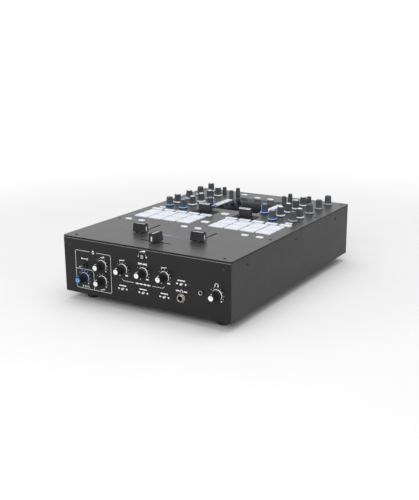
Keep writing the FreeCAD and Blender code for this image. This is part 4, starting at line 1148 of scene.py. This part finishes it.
def print_tension(ink):
    """A dark ring of painted shade for the opening, dots, a minus and a plus round the tension shaft.
    """
    x, drop = front_place("tension_knob")
    # Painted shade: a dull black printed ring stands for the dark opening round the shaft.
    ink.ring(x, -drop, 4.0, 1.2, DULL_BLACK)
    ink.dots(x, -drop, 6.0, range(30, 151, 30), 0.4)
    for way in (-1, 1):
        ink.bar(x + way * 6.4, -drop, 2.2, 1.0)
    ink.bar(x + 6.4, -drop, 1.0, 2.2)
    wedge(ink, x, 4.9, 10.0, 2.4)


def print_phones(ink):
    """Signs of the phones jack and the phones knob."""
    headphones(ink, PHONES_COLUMN, PHONES_SIGN_DROP, 3.6)
    for way in (-1, 1):
        ink.bar(PHONES_COLUMN + way * 6.0, -PHONES_SIGN_DROP, 5.0, 1.6)
    x, drop = front_place("phones_knob")
    dial(ink, x, drop)
    headphones(ink, x, drop - 13.0, 4.4)


def make_prints():
    """All signs of the front panel, and the crossfader's line on the plate."""
    ink = Ink(FRONT_SHEET)
    print_microphone(ink)
    print_contours(ink)
    print_switches(ink)
    print_tension(ink)
    print_phones(ink)
    ink.piece("front_prints", "front")
    ink = Ink(shift(0, 0, PLATE_TOP), PALE_INK)
    y = row_y(PLATE_LINE_ROW)
    ink.line([(-14.0, y), (4.0, y)], BOLD_PEN)
    ink.line([(4.0, y), (15.0, y)], BOLD_PEN, BLUE_INK)
    ink.piece("plate_prints", "plate")


# Studio: places in metres, the turn in degrees, the lens in millimetres
FLOOR_SIZE = 12.0
FLOOR_GREYS = ((0.84, 0.84, 0.84), (0.88, 0.88, 0.88))
FADE_START, FADE_END = 0.35, 1.0
WHITE = (1.0, 1.0, 1.0, 1.0)
SKY_LIGHT, SKY_SEEN = 0.6, 1.0
LAMP_TARGET = (0, 0, 0.07)
CAMERA_PLACE = (0.59469, -0.98693, 0.36888)
CAMERA_TURN = (73.8519, 0.6269, 32.1827)
CAMERA_LENS = 57.865
CAMERA_SHIFT = (0.0243, 0.0115)


def calculate(tree, operation, first, second):
    """A number worked out from two others."""
    made = tree.nodes.new("ShaderNodeMath")
    made.operation = operation
    feed(made, {0: first, 1: second})
    return made.outputs[0]


def camera_share(tree):
    """One for rays that reach the eye straight, mirrored or through glass, else nought."""
    paths = tree.nodes.new("ShaderNodeLightPath")
    share = paths.outputs["Is Camera Ray"]
    for kind in ("Is Glossy Ray", "Is Transmission Ray"):
        share = calculate(tree, "MAXIMUM", share, paths.outputs[kind])
    return share


def floor_paper():
    """Pale paper that turns into plain white, for the eye alone, away from the mixer."""
    made, tree, shader = shader_of("floor_paper")
    clouds = noise(tree, 120.0, detail=3.0)
    feed(shader, {"Base Color": blend_colour(tree, clouds, *FLOOR_GREYS)})
    feed(shader, {"Roughness": 0.9, "Specular IOR Level": 0.1})
    place = tree.nodes.new("ShaderNodeTexCoord")
    far = tree.nodes.new("ShaderNodeVectorMath")
    far.operation = "LENGTH"
    feed(far, {0: place.outputs["Object"]})
    fade = tree.nodes.new("ShaderNodeMapRange")
    fade.interpolation_type = "SMOOTHSTEP"
    feed(fade, {"Value": far.outputs["Value"], "From Min": FADE_START, "From Max": FADE_END})
    white = tree.nodes.new("ShaderNodeEmission")
    feed(white, {"Color": WHITE})
    seen = calculate(tree, "MULTIPLY", fade.outputs["Result"], camera_share(tree))
    mix = tree.nodes.new("ShaderNodeMixShader")
    feed(mix, {"Fac": seen, 1: shader.outputs["BSDF"], 2: white.outputs["Emission"]})
    feed(tree.nodes["Material Output"], {"Surface": mix.outputs["Shader"]})
    return made


def make_stage():
    """A pale floor that keeps the shadow near the mixer and fades into the white around it."""
    data = bpy.data.meshes.new("floor")
    form = bmesh.new()
    bmesh.ops.create_grid(form, x_segments=1, y_segments=1, size=FLOOR_SIZE)
    form.to_mesh(data)
    form.free()
    data.materials.append(floor_paper())
    floor = linked("floor", data)


def softbox(name, place, size, power):
    """A rectangular lamp that faces the mixer."""
    lamp = bpy.data.lights.new(name, "AREA")
    lamp.shape = "RECTANGLE"
    lamp.size, lamp.size_y = size
    lamp.energy = power
    made = linked(name, lamp)
    made.location = place
    aim = Vector(LAMP_TARGET) - Vector(place)
    made.rotation_euler = aim.to_track_quat("-Z", "Y").to_euler()


def make_light():
    """A white room that lights the mixer evenly, and two lamps."""
    world = bpy.data.worlds.new("studio")
    bpy.context.scene.world = world
    world.use_nodes = True
    tree = world.node_tree
    level = tree.nodes.new("ShaderNodeMapRange")
    feed(level, {"Value": camera_share(tree), "To Min": SKY_LIGHT, "To Max": SKY_SEEN})
    feed(tree.nodes["Background"], {"Color": WHITE, "Strength": level.outputs["Result"]})
    softbox("front", place=(0.35, -1.6, 1.0), size=(1.7, 0.7), power=13.0)
    softbox("overhead", place=(0.1, 0.1, 1.9), size=(1.6, 1.6), power=15.0)


def make_camera():
    """The photograph's camera, turned about X, Y and Z in that order."""
    lens = bpy.data.cameras.new("camera")
    lens.sensor_width = 36.0
    lens.lens = CAMERA_LENS
    lens.shift_x, lens.shift_y = CAMERA_SHIFT
    camera = linked("camera", lens)
    turn = Euler([math.radians(angle) for angle in CAMERA_TURN]).to_matrix().to_4x4()
    camera.matrix_world = Matrix.Translation(CAMERA_PLACE) @ turn
    bpy.context.scene.camera = camera


make_camera()
make_light()
make_stage()
dress_model()
make_knobs()
make_keys()
make_fader_caps()
make_paddles()
make_screen()
make_front_fittings()
make_mic_toggle()
make_switches()
make_socket_details()
make_rocker_marks()
make_screws()
make_feet()
make_prints()

bpy.context.scene.view_settings.view_transform = "Standard"
